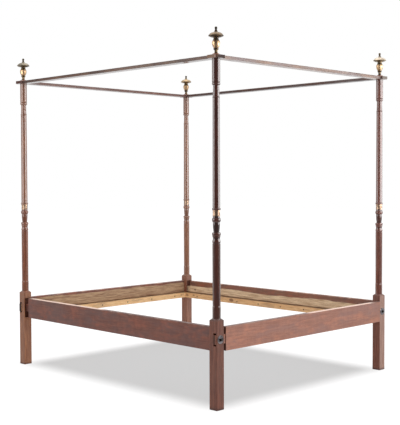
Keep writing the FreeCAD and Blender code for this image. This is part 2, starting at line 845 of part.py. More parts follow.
def cleat(node, axis, sign, low, high, cleat_end, number):
    """Pine batten screwed inside a rail, with a countersunk hole for each screw."""
    body = new_body(node)
    bar = block(body, "bar", low, high)
    along = FreeCAD.Vector(0, 1, 0) if axis == "x" else FreeCAD.Vector(1, 0, 0)
    ease_edges(body, bar, along, size("cleat_edge_round"))
    face = side_cleat_inside if axis == "x" else end_cleat_inside
    radius = size("screw_radius") + size("screw_clearance")
    head_radius = size("screw_head_radius") + size("screw_clearance")
    for place in screw_places(cleat_end, number):
        start = screw_start(axis, sign, face, place)
        turn = turn_along(axis, sign)
        rod(body, "screw_hole", radius, size("cleat_thickness") + overrun, start, turn,
            subtract=True)
        cone_cut(body, "countersink", head_radius, radius, size("screw_head_height"), start,
                 turn)
    return body


def screw_start(axis, sign, face, place):
    """Where a screw's head lies, on the cleat's inner face."""
    if axis == "x":
        return (sign * face, place, cleat_middle)
    return (place, sign * face, cleat_middle)


def screws(node, axis, sign, cleat_end, number):
    """The countersunk screws of one cleat, as separate solids."""
    face = side_cleat_inside if axis == "x" else end_cleat_inside
    items = []
    for index, place in enumerate(screw_places(cleat_end, number)):
        start = screw_start(axis, sign, face, place)
        turn = turn_along(axis, sign)
        shank = doc.addObject("Part::Cylinder", "%s_shank_%d" % (node, index))
        bind(shank, "Radius", size("screw_radius"))
        bind(shank, "Height", size("screw_length"))
        bind_place(shank, start, turn)
        head = doc.addObject("Part::Cone", "%s_head_%d" % (node, index))
        bind(head, "Radius1", size("screw_head_radius"))
        bind(head, "Radius2", size("screw_radius"))
        bind(head, "Height", size("screw_head_height"))
        bind_place(head, start, turn)
        screw = doc.addObject("Part::Fuse", "%s_screw_%d" % (node, index))
        screw.Base = shank
        screw.Tool = head
        items.append(screw)
    return group(node, items)


def tester_batten(node, axis, sign):
    """Flat batten on two posts, halved where it crosses its neighbours.

    The battens along the bed keep their lower half at a crossing, and those across it
    keep their upper half.
    """
    body = new_body(node)
    half_width = size("tester_width") / 2
    tail = size("tester_tail")
    if axis == "y":
        low = (sign * half_x - half_width, -half_y - tail, tester_bottom)
        high = (sign * half_x + half_width, half_y + tail, tester_top)
        along = FreeCAD.Vector(0, 1, 0)
    else:
        low = (-half_x - tail, sign * half_y - half_width, tester_bottom)
        high = (half_x + tail, sign * half_y + half_width, tester_top)
        along = FreeCAD.Vector(1, 0, 0)
    plank = block(body, "plank", low, high)
    ease_edges(body, plank, along, size("tester_edge_round"))
    half_notch = half_width + size("halving_clearance")
    middle = tester_bottom + size("tester_thickness") / 2
    reach = half_width + overrun
    for other in (-1, 1):
        if axis == "y":
            x, y = sign * half_x, other * half_y
            notch_low = (x - reach, y - half_notch, middle)
            notch_high = (x + reach, y + half_notch, tester_top + overrun)
        else:
            x, y = other * half_x, sign * half_y
            notch_low = (x - half_notch, y - reach, tester_bottom - overrun)
            notch_high = (x + half_notch, y + reach, middle)
        block(body, "halving", notch_low, notch_high, subtract=True)
        length = size("tester_thickness") + 2 * overrun
        rod(body, "pin_hole", pin_hole, length, (x, y, tester_bottom - overrun), subtract=True)
    return body


def build():
    """Make every sub-part and return the finished ones."""
    pieces = []
    for corner, side, end in CORNERS:
        for make in (lower_post, brass_collar, upper_post, tester_pin, finial_plinth,
                     finial_urn, finial_cap, bed_bolt, bolt_washer):
            pieces.append(make(corner, side, end))
    pieces.append(rail_nuts())
    pieces.append(end_rail("end_rail_front", -1, size("front_rail_gap"), Size.of(0)))
    pieces.append(end_rail("end_rail_back", 1, Size.of(0), Size.of(0)))
    end_number, side_number = count("end_screw_count"), count("side_screw_count")
    for name, sign in (("left", -1), ("right", 1)):
        pieces.append(side_rail("side_rail_" + name, sign))
        near, far = band(sign, side_cleat_inside, side_rail_inside)
        pieces.append(cleat("side_cleat_" + name, "x", sign,
                            (near, -end_cleat_inside, cleat_bottom),
                            (far, end_cleat_inside, cleat_top), end_cleat_inside, side_number))
        pieces.append(screws("cleat_screws_" + name, "x", sign, end_cleat_inside, side_number))
        pieces.append(tester_batten("tester_side_" + name, "y", sign))
    for name, sign in (("front", -1), ("back", 1)):
        near, far = band(sign, end_cleat_inside, end_rail_inside)
        pieces.append(cleat("end_cleat_" + name, "y", sign,
                            (-inner_x, near, cleat_bottom),
                            (inner_x, far, cleat_top), inner_x, end_number))
        pieces.append(screws("cleat_screws_" + name, "y", sign, inner_x, end_number))
        pieces.append(tester_batten("tester_end_" + name, "x", sign))
    doc.recompute()
    return pieces


def check(pieces):
    """Stop if any object failed or any sub-part's shape is empty or broken."""
    for item in doc.Objects:
        if "Invalid" in item.State or "Error" in item.State:
            raise RuntimeError("%s failed: %s" % (item.Label, item.getStatusString()))
    for piece in pieces:
        if piece.Shape.isNull() or not piece.Shape.isValid() or not piece.Shape.Solids:
            raise RuntimeError("%s has no sound solid" % piece.Label)


def write(pieces):
    """Write each sub-part to its own STEP file and print its size."""
    os.makedirs("parts", exist_ok=True)
    for piece in pieces:
        piece.Shape.exportStep("parts/%s.step" % piece.Label)
        box = piece.Shape.BoundBox
        print("%-28s solids %2d  volume %12.1f  z %7.1f to %7.1f" % (
            piece.Label, len(piece.Shape.Solids), piece.Shape.Volume, box.ZMin, box.ZMax))


finished = build()
check(finished)
write(finished)
print("%d sub-parts" % len(finished))
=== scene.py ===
"""Looks of the four-post canopy bed frame: finishes, screws, camera, floor and light.

Every length is in metres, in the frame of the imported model: the bed stands on z = 0 and is
centred on x = 0, y = 0, with its front end at -Y.
"""

import json
import logging
import math
from dataclasses import dataclass
from enum import Enum

import bmesh
import bpy
from mathutils import Matrix, Vector

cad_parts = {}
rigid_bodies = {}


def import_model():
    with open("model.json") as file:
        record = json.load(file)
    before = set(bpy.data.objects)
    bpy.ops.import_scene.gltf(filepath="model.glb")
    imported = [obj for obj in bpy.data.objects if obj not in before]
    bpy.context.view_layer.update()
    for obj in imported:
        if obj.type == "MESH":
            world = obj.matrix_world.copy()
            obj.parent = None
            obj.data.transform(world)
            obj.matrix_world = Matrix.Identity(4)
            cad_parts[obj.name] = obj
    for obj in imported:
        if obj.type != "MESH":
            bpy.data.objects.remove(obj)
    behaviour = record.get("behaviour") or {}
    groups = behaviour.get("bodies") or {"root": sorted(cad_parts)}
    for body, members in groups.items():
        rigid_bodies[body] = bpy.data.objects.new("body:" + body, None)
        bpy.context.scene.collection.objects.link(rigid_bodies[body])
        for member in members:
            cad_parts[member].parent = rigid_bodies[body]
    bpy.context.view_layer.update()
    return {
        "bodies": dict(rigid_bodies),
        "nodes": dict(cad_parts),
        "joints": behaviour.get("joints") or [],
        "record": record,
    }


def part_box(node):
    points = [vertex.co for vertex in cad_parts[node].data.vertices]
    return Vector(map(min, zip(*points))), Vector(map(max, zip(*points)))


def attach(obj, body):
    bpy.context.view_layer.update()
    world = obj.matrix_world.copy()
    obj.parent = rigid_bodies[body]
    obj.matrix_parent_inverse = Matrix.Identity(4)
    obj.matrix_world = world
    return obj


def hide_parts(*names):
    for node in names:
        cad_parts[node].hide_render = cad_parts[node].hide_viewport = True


Colour = tuple[float, float, float]
Place = tuple[float, float, float]
Span = tuple[float, float]
Socket = bpy.types.NodeSocket
Sockets = dict[str, Socket]

LOG = logging.getLogger("canopy_bed")
AXES = "XYZ"
# How much of a normal lies along an axis where a face starts to face it, and where it fully does.
FACING: Span = (0.6, 0.85)


class Grain(Enum):
    """The axis of a piece's grain, with its place's axes in order: two across it, one along."""

    X = "YZX"
    Y = "XZY"
    Z = "XYZ"


class Side(Enum):
    """The sides of the bed: the kind of board there, the axis that it faces along, its sign."""

    LEFT = ("side", "X", -1)
    RIGHT = ("side", "X", 1)
    FRONT = ("end", "Y", -1)
    BACK = ("end", "Y", 1)

    @property
    def label(self) -> str:
        """The side's part of a node's name."""
        return self.name.lower()

    @property
    def kind(self) -> str:
        """The kind of board, as in a node's name."""
        return self.value[0]

    @property
    def axis(self) -> str:
        """The axis that this side faces along."""
        return self.value[1]

    @property
    def sign(self) -> int:
        """1 where outward is along that axis, and -1 where it is against it."""
        return self.value[2]

    @property
    def grain(self) -> Grain:
        """The grain of a board that runs along this side."""
        return Grain.X if self.axis == "Y" else Grain.Y


class Corner(Enum):
    """The corners of the bed, by their part of a node's name."""

    FRONT_LEFT = "front_left"
    FRONT_RIGHT = "front_right"
    BACK_LEFT = "back_left"
    BACK_RIGHT = "back_right"

    @property
    def end(self) -> int:
        """-1 at the front, 1 at the back."""
        return -1 if self.value.startswith("front") else 1


def srgb(red: int, green: int, blue: int) -> Colour:
    """Turn an 8-bit display colour into the linear colour that shaders take.

    Args:
        red: Red from 0 to 255.
        green: Green from 0 to 255.
        blue: Blue from 0 to 255.

    Returns:
        The linear colour.
    """
    def linear(value: int) -> float:
        """One channel as a linear value."""
        share = value / 255
        return share / 12.92 if share <= 0.04045 else ((share + 0.055) / 1.055) ** 2.4

    return linear(red), linear(green), linear(blue)


def top_of(node: str) -> float:
    """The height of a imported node's top."""
    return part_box(node)[1].z


def inner_face(node: str, side: Side) -> float:
    """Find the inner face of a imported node.

    Args:
        node: The node's name.
        side: The side of the bed that it belongs to.

    Returns:
        The face's place along the axis that the side faces along.
    """
    low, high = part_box(node)
    return (low if side.sign > 0 else high)[AXES.index(side.axis)]


class Tree:
    """A short way to write a shader's node tree."""

    def __init__(self, nodes: bpy.types.NodeTree) -> None:
        """Take the tree to write in."""
        self.tree = nodes

    def node(self, kind: str, **settings: object) -> bpy.types.Node:
        """Add a node.

        Args:
            kind: The node's type name without its ShaderNode prefix, or a whole one.
            **settings: Properties of the node.

        Returns:
            The node.
        """
        made = self.tree.nodes.new(kind if kind.startswith("NodeGroup") else "ShaderNode" + kind)
        for name, value in settings.items():
            setattr(made, name, value)
        return made

    def feed(self, socket: Socket, value: object) -> None:
        """Link a socket to an output, or set its own value.

        Args:
            socket: The input socket.
            value: An output socket, a number, a vector or a colour.
        """
        if isinstance(value, Socket):
            self.tree.links.new(value, socket)
        elif isinstance(value, tuple) and socket.type == "RGBA" and len(value) == 3:
            socket.default_value = (*value, 1)
        else:
            socket.default_value = value

    def math(self, operation: str, first: object, second: object = 0.0,
             clamp: bool = False) -> Socket:
        """One sum.

        Args:
            operation: The Math node's operation.
            first: Its first value.
            second: Its second value, where it has one.
            clamp: Whether the result stays from 0 to 1.

        Returns:
            The result's socket.
        """
        made = self.node("Math", operation=operation, use_clamp=clamp)
        self.feed(made.inputs[0], first)
        self.feed(made.inputs[1], second)
        return made.outputs[0]

    def times(self, first: object, second: object) -> Socket:
        """The product of two values."""
        return self.math("MULTIPLY", first, second)

    def invert(self, mask: object) -> Socket:
        """One minus a mask."""
        return self.math("SUBTRACT", 1.0, mask)

    def vector(self, operation: str, first: object, second: object = None,
               output: str = "Vector") -> Socket:
        """One sum of vectors.

        Args:
            operation: The Vector Math node's operation.
            first: Its first vector.
            second: Its second vector, or the number that it is scaled by.
            output: Vector, or Value where the result is a number.

        Returns:
            The result's socket.
        """
        made = self.node("VectorMath", operation=operation)
        self.feed(made.inputs[0], first)
        if second is not None:
            self.feed(made.inputs["Scale" if operation == "SCALE" else 1], second)
        return made.outputs[output]

    def joined(self, *parts: object) -> Socket:
        """A vector of up to three parts.

        Args:
            *parts: Its parts in order, where a missing one is 0.

        Returns:
            The vector's socket.
        """
        made = self.node("CombineXYZ")
        for socket, part in zip(made.inputs, parts):
            self.feed(socket, part)
        return made.outputs[0]

    def axes(self, vector: object) -> tuple[Socket, ...]:
        """Split a vector.

        Args:
            vector: The vector.

        Returns:
            The sockets of its three parts.
        """
        made = self.node("SeparateXYZ")
        self.feed(made.inputs[0], vector)
        return tuple(made.outputs)

    def place(self) -> Socket:
        """The place on the bed, in metres."""
        return self.node("TexCoord").outputs["Object"]

    def along(self, axis: str) -> Socket:
        """The place on the bed along one axis."""
        return self.axes(self.place())[AXES.index(axis)]

    def facing(self, axis: str, sign: int) -> Socket:
        """How far the surface faces along plus or minus one axis.

        Args:
            axis: X, Y or Z.
            sign: 1 or -1.

        Returns:
            A socket that is 1 on a face square to the axis and 0 on the others.
        """
        normal = self.axes(self.node("NewGeometry").outputs["True Normal"])
        return self.step(self.times(normal[AXES.index(axis)], sign), *FACING)

    def step(self, value: object, low: float, high: float) -> Socket:
        """A soft step from 0 at low to 1 at high.

        Args:
            value: What is compared.
            low: Where the step starts.
            high: Where it is complete.

        Returns:
            The step's socket.
        """
        made = self.node("MapRange", interpolation_type="SMOOTHSTEP")
        self.feed(made.inputs["Value"], value)
        made.inputs["From Min"].default_value = low
        made.inputs["From Max"].default_value = high
        return made.outputs["Result"]

    def band(self, value: object, low: float, high: float, soft: float) -> Socket:
        """A mask of what lies between two values.

        Args:
            value: What is compared.
            low: The lower value.
            high: The higher value.
            soft: How far each edge is spread to both its sides.

        Returns:
            The mask's socket.
        """
        return self.times(self.step(value, low - soft, low + soft),
                          self.invert(self.step(value, high - soft, high + soft)))

    def remap(self, value: object, low: float, high: float) -> Socket:
        """Spread a value from 0 to 1 over another range.

        Args:
            value: A value from 0 to 1.
            low: What 0 becomes.
            high: What 1 becomes.

        Returns:
            The result's socket.
        """
        made = self.node("MapRange")
        self.feed(made.inputs["Value"], value)
        made.inputs["To Min"].default_value = low
        made.inputs["To Max"].default_value = high
        return made.outputs["Result"]

    def mix(self, factor: object, first: object, second: object) -> Socket:
        """Mix two colours.

        Args:
            factor: Share of the second colour.
            first: The first colour.
            second: The second colour.

        Returns:
            The mixed colour's socket.
        """
        made = self.node("Mix", data_type="RGBA")
        self.feed(made.inputs[0], factor)
        self.feed(made.inputs[6], first)
        self.feed(made.inputs[7], second)
        return made.outputs[2]

    def tint(self, colour: object, shade: object, mask: object, amount: float) -> Socket:
        """Lay a shade over a colour.

        Args:
            colour: The colour.
            shade: The shade.
            mask: Where the shade lies.
            amount: How strongly it covers the colour there.

        Returns:
            The tinted colour's socket.
        """
        return self.mix(self.times(mask, amount), colour, shade)

    def noise(self, vector: object, scale: float, detail: float = 3.0,
              roughness: float = 0.55) -> Socket:
        """Smooth noise from 0 to 1.

        Args:
            vector: Where it is read.
            scale: Its features per unit.
            detail: How many finer layers it has.
            roughness: How strong these are.

        Returns:
            The noise's socket.
        """
        made = self.node("TexNoise")
        self.feed(made.inputs["Vector"], vector)
        made.inputs["Scale"].default_value = scale
        made.inputs["Detail"].default_value = detail
        made.inputs["Roughness"].default_value = roughness
        return made.outputs["Fac"]

    def stretch(self, vector: object, across: float, along: float) -> Socket:
        """Scale a place in the wood.

        Args:
            vector: A place whose third axis is the grain.
            across: Scale across the grain.
            along: Scale along it.

        Returns:
            The scaled place's socket.
        """
        return self.vector("MULTIPLY", vector, (across, across, along))

    def bumped(self, height: object, strength: float, depth: float) -> Socket:
        """Roughen the surface by a height.

        Args:
            height: The height.
            strength: How much of it counts.
            depth: How deep it is, in metres.

        Returns:
            The normal's socket.
        """
        made = self.node("Bump")
        made.inputs["Strength"].default_value = strength
        made.inputs["Distance"].default_value = depth
        self.feed(made.inputs["Height"], height)
        return made.outputs["Normal"]

    def placed(self, group: bpy.types.NodeTree, **values: object) -> Sockets:
        """Place a shared group.

        Args:
            group: The shared group.
            **values: Values or sockets for its inputs, with underscores for spaces.

        Returns:
            The group's outputs by name.
        """
        made = self.node("Group", node_tree=group)
        for name, value in values.items():
            self.feed(made.inputs[name.replace("_", " ").capitalize()], value)
        return {socket.name: socket for socket in made.outputs}


@dataclass(frozen=True)
class Layer:
    """Noise that is drawn out along the grain, and the soft step that makes it a mask."""

    across: float
    along: float
    low: float
    high: float
    detail: float = 4.0
    roughness: float = 0.55

    def noise(self, tree: Tree, place: Socket) -> Socket:
        """The bare noise."""
        return tree.noise(tree.stretch(place, self.across, self.along), 1.0, self.detail,
                          self.roughness)

    def mask(self, tree: Tree, place: Socket) -> Socket:
        """The noise as a mask."""
        return tree.step(self.noise(tree, place), self.low, self.high)


CLOUDS = Layer(24.0, 6.0, 0.36, 0.68, roughness=0.6)
PORES = Layer(1500.0, 75.0, 0.60, 0.70, detail=1.0)
GREYING = Layer(9.0, 3.6, 0.40, 0.62)
PATCHES = Layer(22.0, 8.0, 0.46, 0.66, detail=5.0, roughness=0.65)
RIPPLES = Layer(12.0, 34.0, 0.42, 0.64)
BARE_STAIN = Layer(34.0, 4.0, 0.50, 0.66, detail=6.0, roughness=0.7)
RAGGED_EDGE = Layer(30.0, 3.4, 0.0, 1.0, detail=5.0, roughness=0.6)


class SharedGroup(Tree):
    """A shader node group that several materials place, while it is being written."""

    def __init__(self, name: str, inputs: dict[str, float | None], outputs: tuple[str, ...]) -> None:
        """Start the group.

        Args:
            name: The group's name.
            inputs: Each input's name and starting value, where None makes it a vector.
            outputs: The names of its outputs, all of them masks.
        """
        super().__init__(bpy.data.node_groups.new(name, "ShaderNodeTree"))
        for label, value in inputs.items():
            kind = "NodeSocketVector" if value is None else "NodeSocketFloat"
            socket = self.tree.interface.new_socket(label, in_out="INPUT", socket_type=kind)
            if value is not None:
                socket.default_value = value
        for label in outputs:
            self.tree.interface.new_socket(label, in_out="OUTPUT", socket_type="NodeSocketFloat")
        self.given = self.node("NodeGroupInput").outputs
        self.result = self.node("NodeGroupOutput").inputs


class Effects:
    """The node groups that the finishes share, each built once."""

    def __init__(self) -> None:
        """Build every group."""
        self.figure = self._figure()
        self.wear = self._wear()
        self.tarnish = self._tarnish()
        self.knot = self._knot()
        self.mottle = self._mottle()

    @staticmethod
    def _figure() -> bpy.types.NodeTree:
        """Wood figure: long streaks, growth lines, broad clouds and short pores.

        Returns:
            The group.
        """
        inputs = {"Place": None, "Streak width": 0.012, "Line spacing": 0.012, "Line waver": 4.0}
        tree = SharedGroup("wood_figure", inputs, ("Streaks", "Lines", "Clouds", "Pores"))
        given, result = tree.given, tree.result
        finer = tree.vector("SCALE", tree.stretch(given["Place"], 1.0, 0.08),
                            tree.math("DIVIDE", 1.0, given["Streak width"]))
        streaks = tree.noise(finer, 1.0, detail=5.0, roughness=0.6)
        tree.feed(result["Streaks"], tree.step(streaks, 0.34, 0.66))
        wave = tree.node("TexWave", wave_type="BANDS", bands_direction="DIAGONAL")
        tree.feed(wave.inputs["Vector"], tree.stretch(given["Place"], 1.0, 0.035))
        tree.feed(wave.inputs["Scale"], tree.math("DIVIDE", 0.32, given["Line spacing"]))
        tree.feed(wave.inputs["Distortion"], given["Line waver"])
        wave.inputs["Detail"].default_value = 3.0
        wave.inputs["Detail Scale"].default_value = 1.4
        tree.feed(result["Lines"], wave.outputs["Fac"])
        tree.feed(result["Clouds"], CLOUDS.mask(tree, given["Place"]))
        tree.feed(result["Pores"], PORES.mask(tree, given["Place"]))
        return tree.tree

    @staticmethod
    def _wear() -> bpy.types.NodeTree:
        """Rubbed and scuffed patches: broad where hands pass, broken by small dents.

        Returns:
            The group.
        """
        tree = SharedGroup("rubbed_wear", {"Place": None, "Amount": 0.5}, ("Rubbed", "Dents"))
        given, result = tree.given, tree.result
        broad = tree.noise(given["Place"], 14.0, detail=5.0, roughness=0.65)
        shifted = tree.math("ADD", broad, tree.remap(given["Amount"], -0.25, 0.25))
        tree.feed(result["Rubbed"], tree.step(shifted, 0.48, 0.66))
        dents = tree.node("TexVoronoi", feature="F1")
        tree.feed(dents.inputs["Vector"], given["Place"])
        dents.inputs["Scale"].default_value = 42.0
        tree.feed(result["Dents"], tree.step(dents.outputs["Distance"], 0.02, 0.14))
        return tree.tree

    @staticmethod
    def _tarnish() -> bpy.types.NodeTree:
        """Metal tarnish: cloudy stains and fine specks.

        Returns:
            The group.
        """
        tree = SharedGroup("metal_tarnish", {"Place": None, "Spread": 0.5}, ("Stain", "Specks"))
        given, result = tree.given, tree.result
        cloud = tree.noise(given["Place"], 55.0, detail=5.0, roughness=0.6)
        shifted = tree.math("ADD", cloud, tree.remap(given["Spread"], -0.2, 0.2))
        tree.feed(result["Stain"], tree.step(shifted, 0.42, 0.66))
        specks = tree.noise(given["Place"], 420.0, detail=2.0)
        tree.feed(result["Specks"], tree.step(specks, 0.55, 0.72))
        return tree.tree

    @staticmethod
    def _knot() -> bpy.types.NodeTree:
        """A knot in a plank: rings about its heart, drawn out along the grain.

        Returns:
            The group.
        """
        inputs = {"Place": None, "Heart": None, "Radius": 0.008}
        tree = SharedGroup("plank_knot", inputs, ("Knot", "Rings"))
        given, result = tree.given, tree.result
        offset = tree.vector("SUBTRACT", given["Place"], given["Heart"])
        length = tree.vector("LENGTH", tree.stretch(offset, 1.0, 0.5), output="Value")
        share = tree.math("DIVIDE", length, given["Radius"])
        tree.feed(result["Knot"], tree.invert(tree.step(share, 0.7, 1.25)))
        tree.feed(result["Rings"], tree.math("SINE", tree.times(share, 16.0)))
        return tree.tree

    @staticmethod
    def _mottle() -> bpy.types.NodeTree:
        """Mottling of old boards: broad greying, rusty patches and ripples across the grain.

        Returns:
            The group.
        """
        layers = {"Greying": GREYING, "Patches": PATCHES, "Ripples": RIPPLES}
        tree = SharedGroup("board_mottle", {"Place": None}, tuple(layers))
        for name, layer in layers.items():
            tree.feed(tree.result[name], layer.mask(tree, tree.given["Place"]))
        return tree.tree


@dataclass
class Draft:
    """A material while it is being written."""

    material: bpy.types.Material
    tree: Tree
    shader: bpy.types.Node
    place: Socket
    masks: Sockets
    colour: Socket
    rough: Socket
    coat: Socket | None = None
    metallic: Socket | None = None

    def finish(self, relief: Socket, strength: float, depth: float) -> bpy.types.Material:
        """Link what was written to the shader.

        Args:
            relief: The height of the surface's relief.
            strength: How much of it counts.
            depth: How deep it is, in metres.

        Returns:
            The material.
        """
        ready = {"Base Color": self.colour, "Roughness": self.rough, "Coat Weight": self.coat,
                 "Metallic": self.metallic, "Normal": self.tree.bumped(relief, strength, depth)}
        for name, value in ready.items():
            if value is not None:
                self.tree.feed(self.shader.inputs[name], value)
        return self.material


def new_material(name: str) -> tuple[bpy.types.Material, Tree, bpy.types.Node]:
    """Start a material with a Principled BSDF.

    Args:
        name: The material's name.

    Returns:
        The material, a writer for its tree and its shader.
    """
    material = bpy.data.materials.new(name)
    material.use_nodes = True
    material.node_tree.nodes.clear()
    tree = Tree(material.node_tree)
    shader = tree.node("BsdfPrincipled")
    tree.feed(tree.node("OutputMaterial").inputs["Surface"], shader.outputs["BSDF"])
    return material, tree, shader


def own_shift(seed: float) -> Place:
    """The shift that gives each piece of wood its own figure."""
    return seed, seed * 1.7, seed * 2.3


def along_grain(tree: Tree, grain: Grain, seed: float) -> Socket:
    """The place in the wood, with its third axis along the grain.

    Args:
        tree: The material's tree.
        grain: The grain's axis.
        seed: The piece's own number.

    Returns:
        The place's socket.
    """
    parts = tree.axes(tree.place())
    turned = tree.joined(*(parts[AXES.index(axis)] for axis in grain.value))
    return tree.vector("ADD", turned, own_shift(seed))


@dataclass(frozen=True)
class Polish:
    """The colours of one old polish over mahogany."""

    deep: Colour
    warm: Colour
    bloom: Colour
    line: Colour
    # The top edge's pale colour: rubbed wear, and on the rails a painted highlight too.
    worn: Colour = srgb(206, 170, 150)

    @property
    def end_grain(self) -> Colour:
        """The colour of sawn ends, which drink more polish."""
        return tuple(channel * 0.45 for channel in self.line)


DARK_POLISH = Polish(srgb(62, 27, 18), srgb(96, 46, 31), srgb(76, 46, 38), srgb(36, 16, 12))
RED_POLISH = Polish(srgb(94, 46, 34), srgb(138, 80, 62), srgb(110, 74, 64), srgb(56, 30, 23))
WARM_POLISH = Polish(srgb(102, 48, 29), srgb(158, 93, 61), srgb(126, 83, 64), srgb(66, 32, 21))
TAN_POLISH = Polish(srgb(118, 70, 47), srgb(165, 113, 83), srgb(138, 98, 79), srgb(80, 45, 32))
LEG_POLISH = Polish(srgb(94, 47, 33), srgb(137, 82, 62), srgb(114, 75, 61), srgb(61, 31, 23))
WARM_LEG_POLISH = Polish(srgb(122, 71, 47), srgb(172, 117, 82), srgb(146, 102, 78),
                         srgb(82, 44, 30))
TAN_LEG_POLISH = Polish(srgb(112, 65, 46), srgb(163, 107, 80), srgb(136, 93, 75), srgb(76, 42, 30))
SIDE_POLISH = Polish(srgb(92, 49, 38), srgb(142, 84, 65), srgb(114, 74, 63), srgb(60, 33, 26))
BROWN_POLISH = Polish(srgb(108, 66, 48), srgb(158, 106, 80), srgb(130, 94, 76), srgb(76, 46, 35))
FADED_POLISH = Polish(srgb(143, 92, 75), srgb(191, 134, 111), srgb(162, 118, 103),
                      srgb(107, 64, 51))
# A greyed, paler polish, painted on the legs' front faces as a reflection.
GREY_SHEEN_POLISH = Polish(srgb(144, 104, 90), srgb(190, 149, 131), srgb(166, 132, 120),
                           srgb(108, 74, 62))
FRONT_BATTEN_POLISH = Polish(srgb(126, 98, 84), srgb(182, 148, 130), srgb(152, 126, 112),
                             srgb(98, 70, 58), worn=srgb(108, 80, 68))
BACK_BATTEN_POLISH = Polish(srgb(87, 56, 48), srgb(139, 99, 87), srgb(117, 91, 84),
                            srgb(58, 36, 31), worn=srgb(92, 64, 56))
LEFT_BATTEN_POLISH = Polish(srgb(80, 55, 45), srgb(130, 98, 84), srgb(110, 86, 75),
                            srgb(56, 37, 30), worn=srgb(68, 47, 39))
RIGHT_BATTEN_POLISH = Polish(srgb(60, 39, 34), srgb(104, 76, 68), srgb(88, 70, 64),
                             srgb(44, 27, 23), worn=srgb(130, 104, 94))


@dataclass(frozen=True)
class Mahogany:
    """Polished old mahogany with streaks, clouds, growth lines, pores and rubbed patches."""

    name: str
    grain: Grain
    seed: float
    polish: Polish
    bloom_amount: float = 0.5
    line_amount: float = 0.14
    pore_amount: float = 0.55
    streak_width: float = 0.009
    gloss: float = 0.30
    coat: float = 0.6
    coat_roughness: float = 0.12
    specular: float = 0.25
    ior: float = 1.5
    streak_range: Span = (0.12, 0.88)
    line_range: Span = (0.70, 1.0)
    wear_amount: float = 0.5
    wear_roughness: float = 0.12
    end_roughness: float = 0.25
    pore_depth: float = 0.6
    dent_height: float = 0.5
    relief_strength: float = 0.3
    relief_depth: float = 0.0005

    def build(self, effects: Effects) -> bpy.types.Material:
        """Make the material.

        Args:
            effects: The shared node groups.

        Returns:
            The material.
        """
        draft = self._start(effects)
        self.alter(draft, effects)
        if draft.coat is None:
            draft.coat = self.coat_off_ends(draft)
        for name, value in (("IOR", self.ior), ("Specular IOR Level", self.specular),
                            ("Coat Roughness", self.coat_roughness), ("Coat IOR", self.ior)):
            draft.shader.inputs[name].default_value = value
        tree, masks = draft.tree, draft.masks
        relief = tree.math("ADD", tree.times(masks["Pores"], -self.pore_depth),
                           tree.times(masks["Dents"], self.dent_height))
        return draft.finish(tree.math("ADD", relief, masks["Streaks"]), self.relief_strength,
                            self.relief_depth)

    def alter(self, draft: Draft, effects: Effects) -> None:
        """Write what only one kind of piece has, which is nothing here.

        Args:
            draft: The material so far.
            effects: The shared node groups.
        """

    def coat_off_ends(self, draft: Draft) -> Socket:
        """The coat, which the sawn ends don't have."""
        return draft.tree.times(draft.tree.invert(draft.masks["Ends"]), self.coat)

    def tinted(self, tree: Tree, figure: Sockets, polish: Polish) -> Socket:
        """Colour the wood's figure with a polish.

        Args:
            tree: The material's tree.
            figure: The figure's masks.
            polish: The polish.

        Returns:
            The colour's socket.
        """
        streaks = tree.remap(figure["Streaks"], *self.streak_range)
        colour = tree.mix(streaks, polish.deep, polish.warm)
        colour = tree.tint(colour, polish.bloom, figure["Clouds"], self.bloom_amount)
        lines = tree.step(figure["Lines"], *self.line_range)
        colour = tree.tint(colour, polish.line, lines, self.line_amount)
        return tree.tint(colour, polish.line, figure["Pores"], self.pore_amount)

    def _start(self, effects: Effects) -> Draft:
        """Write the polish that every mahogany piece has.

        Args:
            effects: The shared node groups.

        Returns:
            The material so far.
        """
        material, tree, shader = new_material(self.name)
        place = along_grain(tree, self.grain, self.seed)
        figure = tree.placed(effects.figure, place=place, streak_width=self.streak_width)
        wear = tree.placed(effects.wear, place=place, amount=self.wear_amount)
        ends = tree.math("ADD", tree.facing(self.grain.name, 1), tree.facing(self.grain.name, -1),
                         clamp=True)
        rough = tree.remap(wear["Rubbed"], self.gloss, self.gloss + self.wear_roughness)
        return Draft(material, tree, shader, place, figure | wear | {"Ends": ends},
                     colour=self.tinted(tree, figure, self.polish),
                     rough=tree.math("ADD", rough, tree.times(ends, self.end_roughness)))


@dataclass(frozen=True, kw_only=True)
class TurnedMahogany(Mahogany):
    """Turned wood, darker in the quirks, which are found by their small radius: dark polish left
    there, plus painted shade.
    """

    axis: tuple[float, float]
    quirk_amount: float
    quirk_radius: float = 0.0245
    quirk_blur: float = 0.0025
    quirk_foot: Span = (1.010, 1.016)
    quirk_head: Span = (1.226, 1.234)

    def alter(self, draft: Draft, effects: Effects) -> None:
        """Darken the quirks.

        Args:
            draft: The material so far.
            effects: The shared node groups.
        """
        tree = draft.tree
        x, y, height = tree.axes(tree.place())
        offset = tree.joined(tree.math("SUBTRACT", x, self.axis[0]),
                             tree.math("SUBTRACT", y, self.axis[1]))
        length = tree.vector("LENGTH", offset, output="Value")
        quirk_floor = self.quirk_radius - self.quirk_blur
        deep = tree.invert(tree.step(length, quirk_floor, self.quirk_radius))
        turned = tree.times(tree.step(height, *self.quirk_foot),
                            tree.invert(tree.step(height, *self.quirk_head)))
        # The quirks darken: dark polish left there, plus painted shade in the hollows.
        draft.colour = tree.tint(draft.colour, self.polish.end_grain, tree.times(deep, turned),
                                 self.quirk_amount)


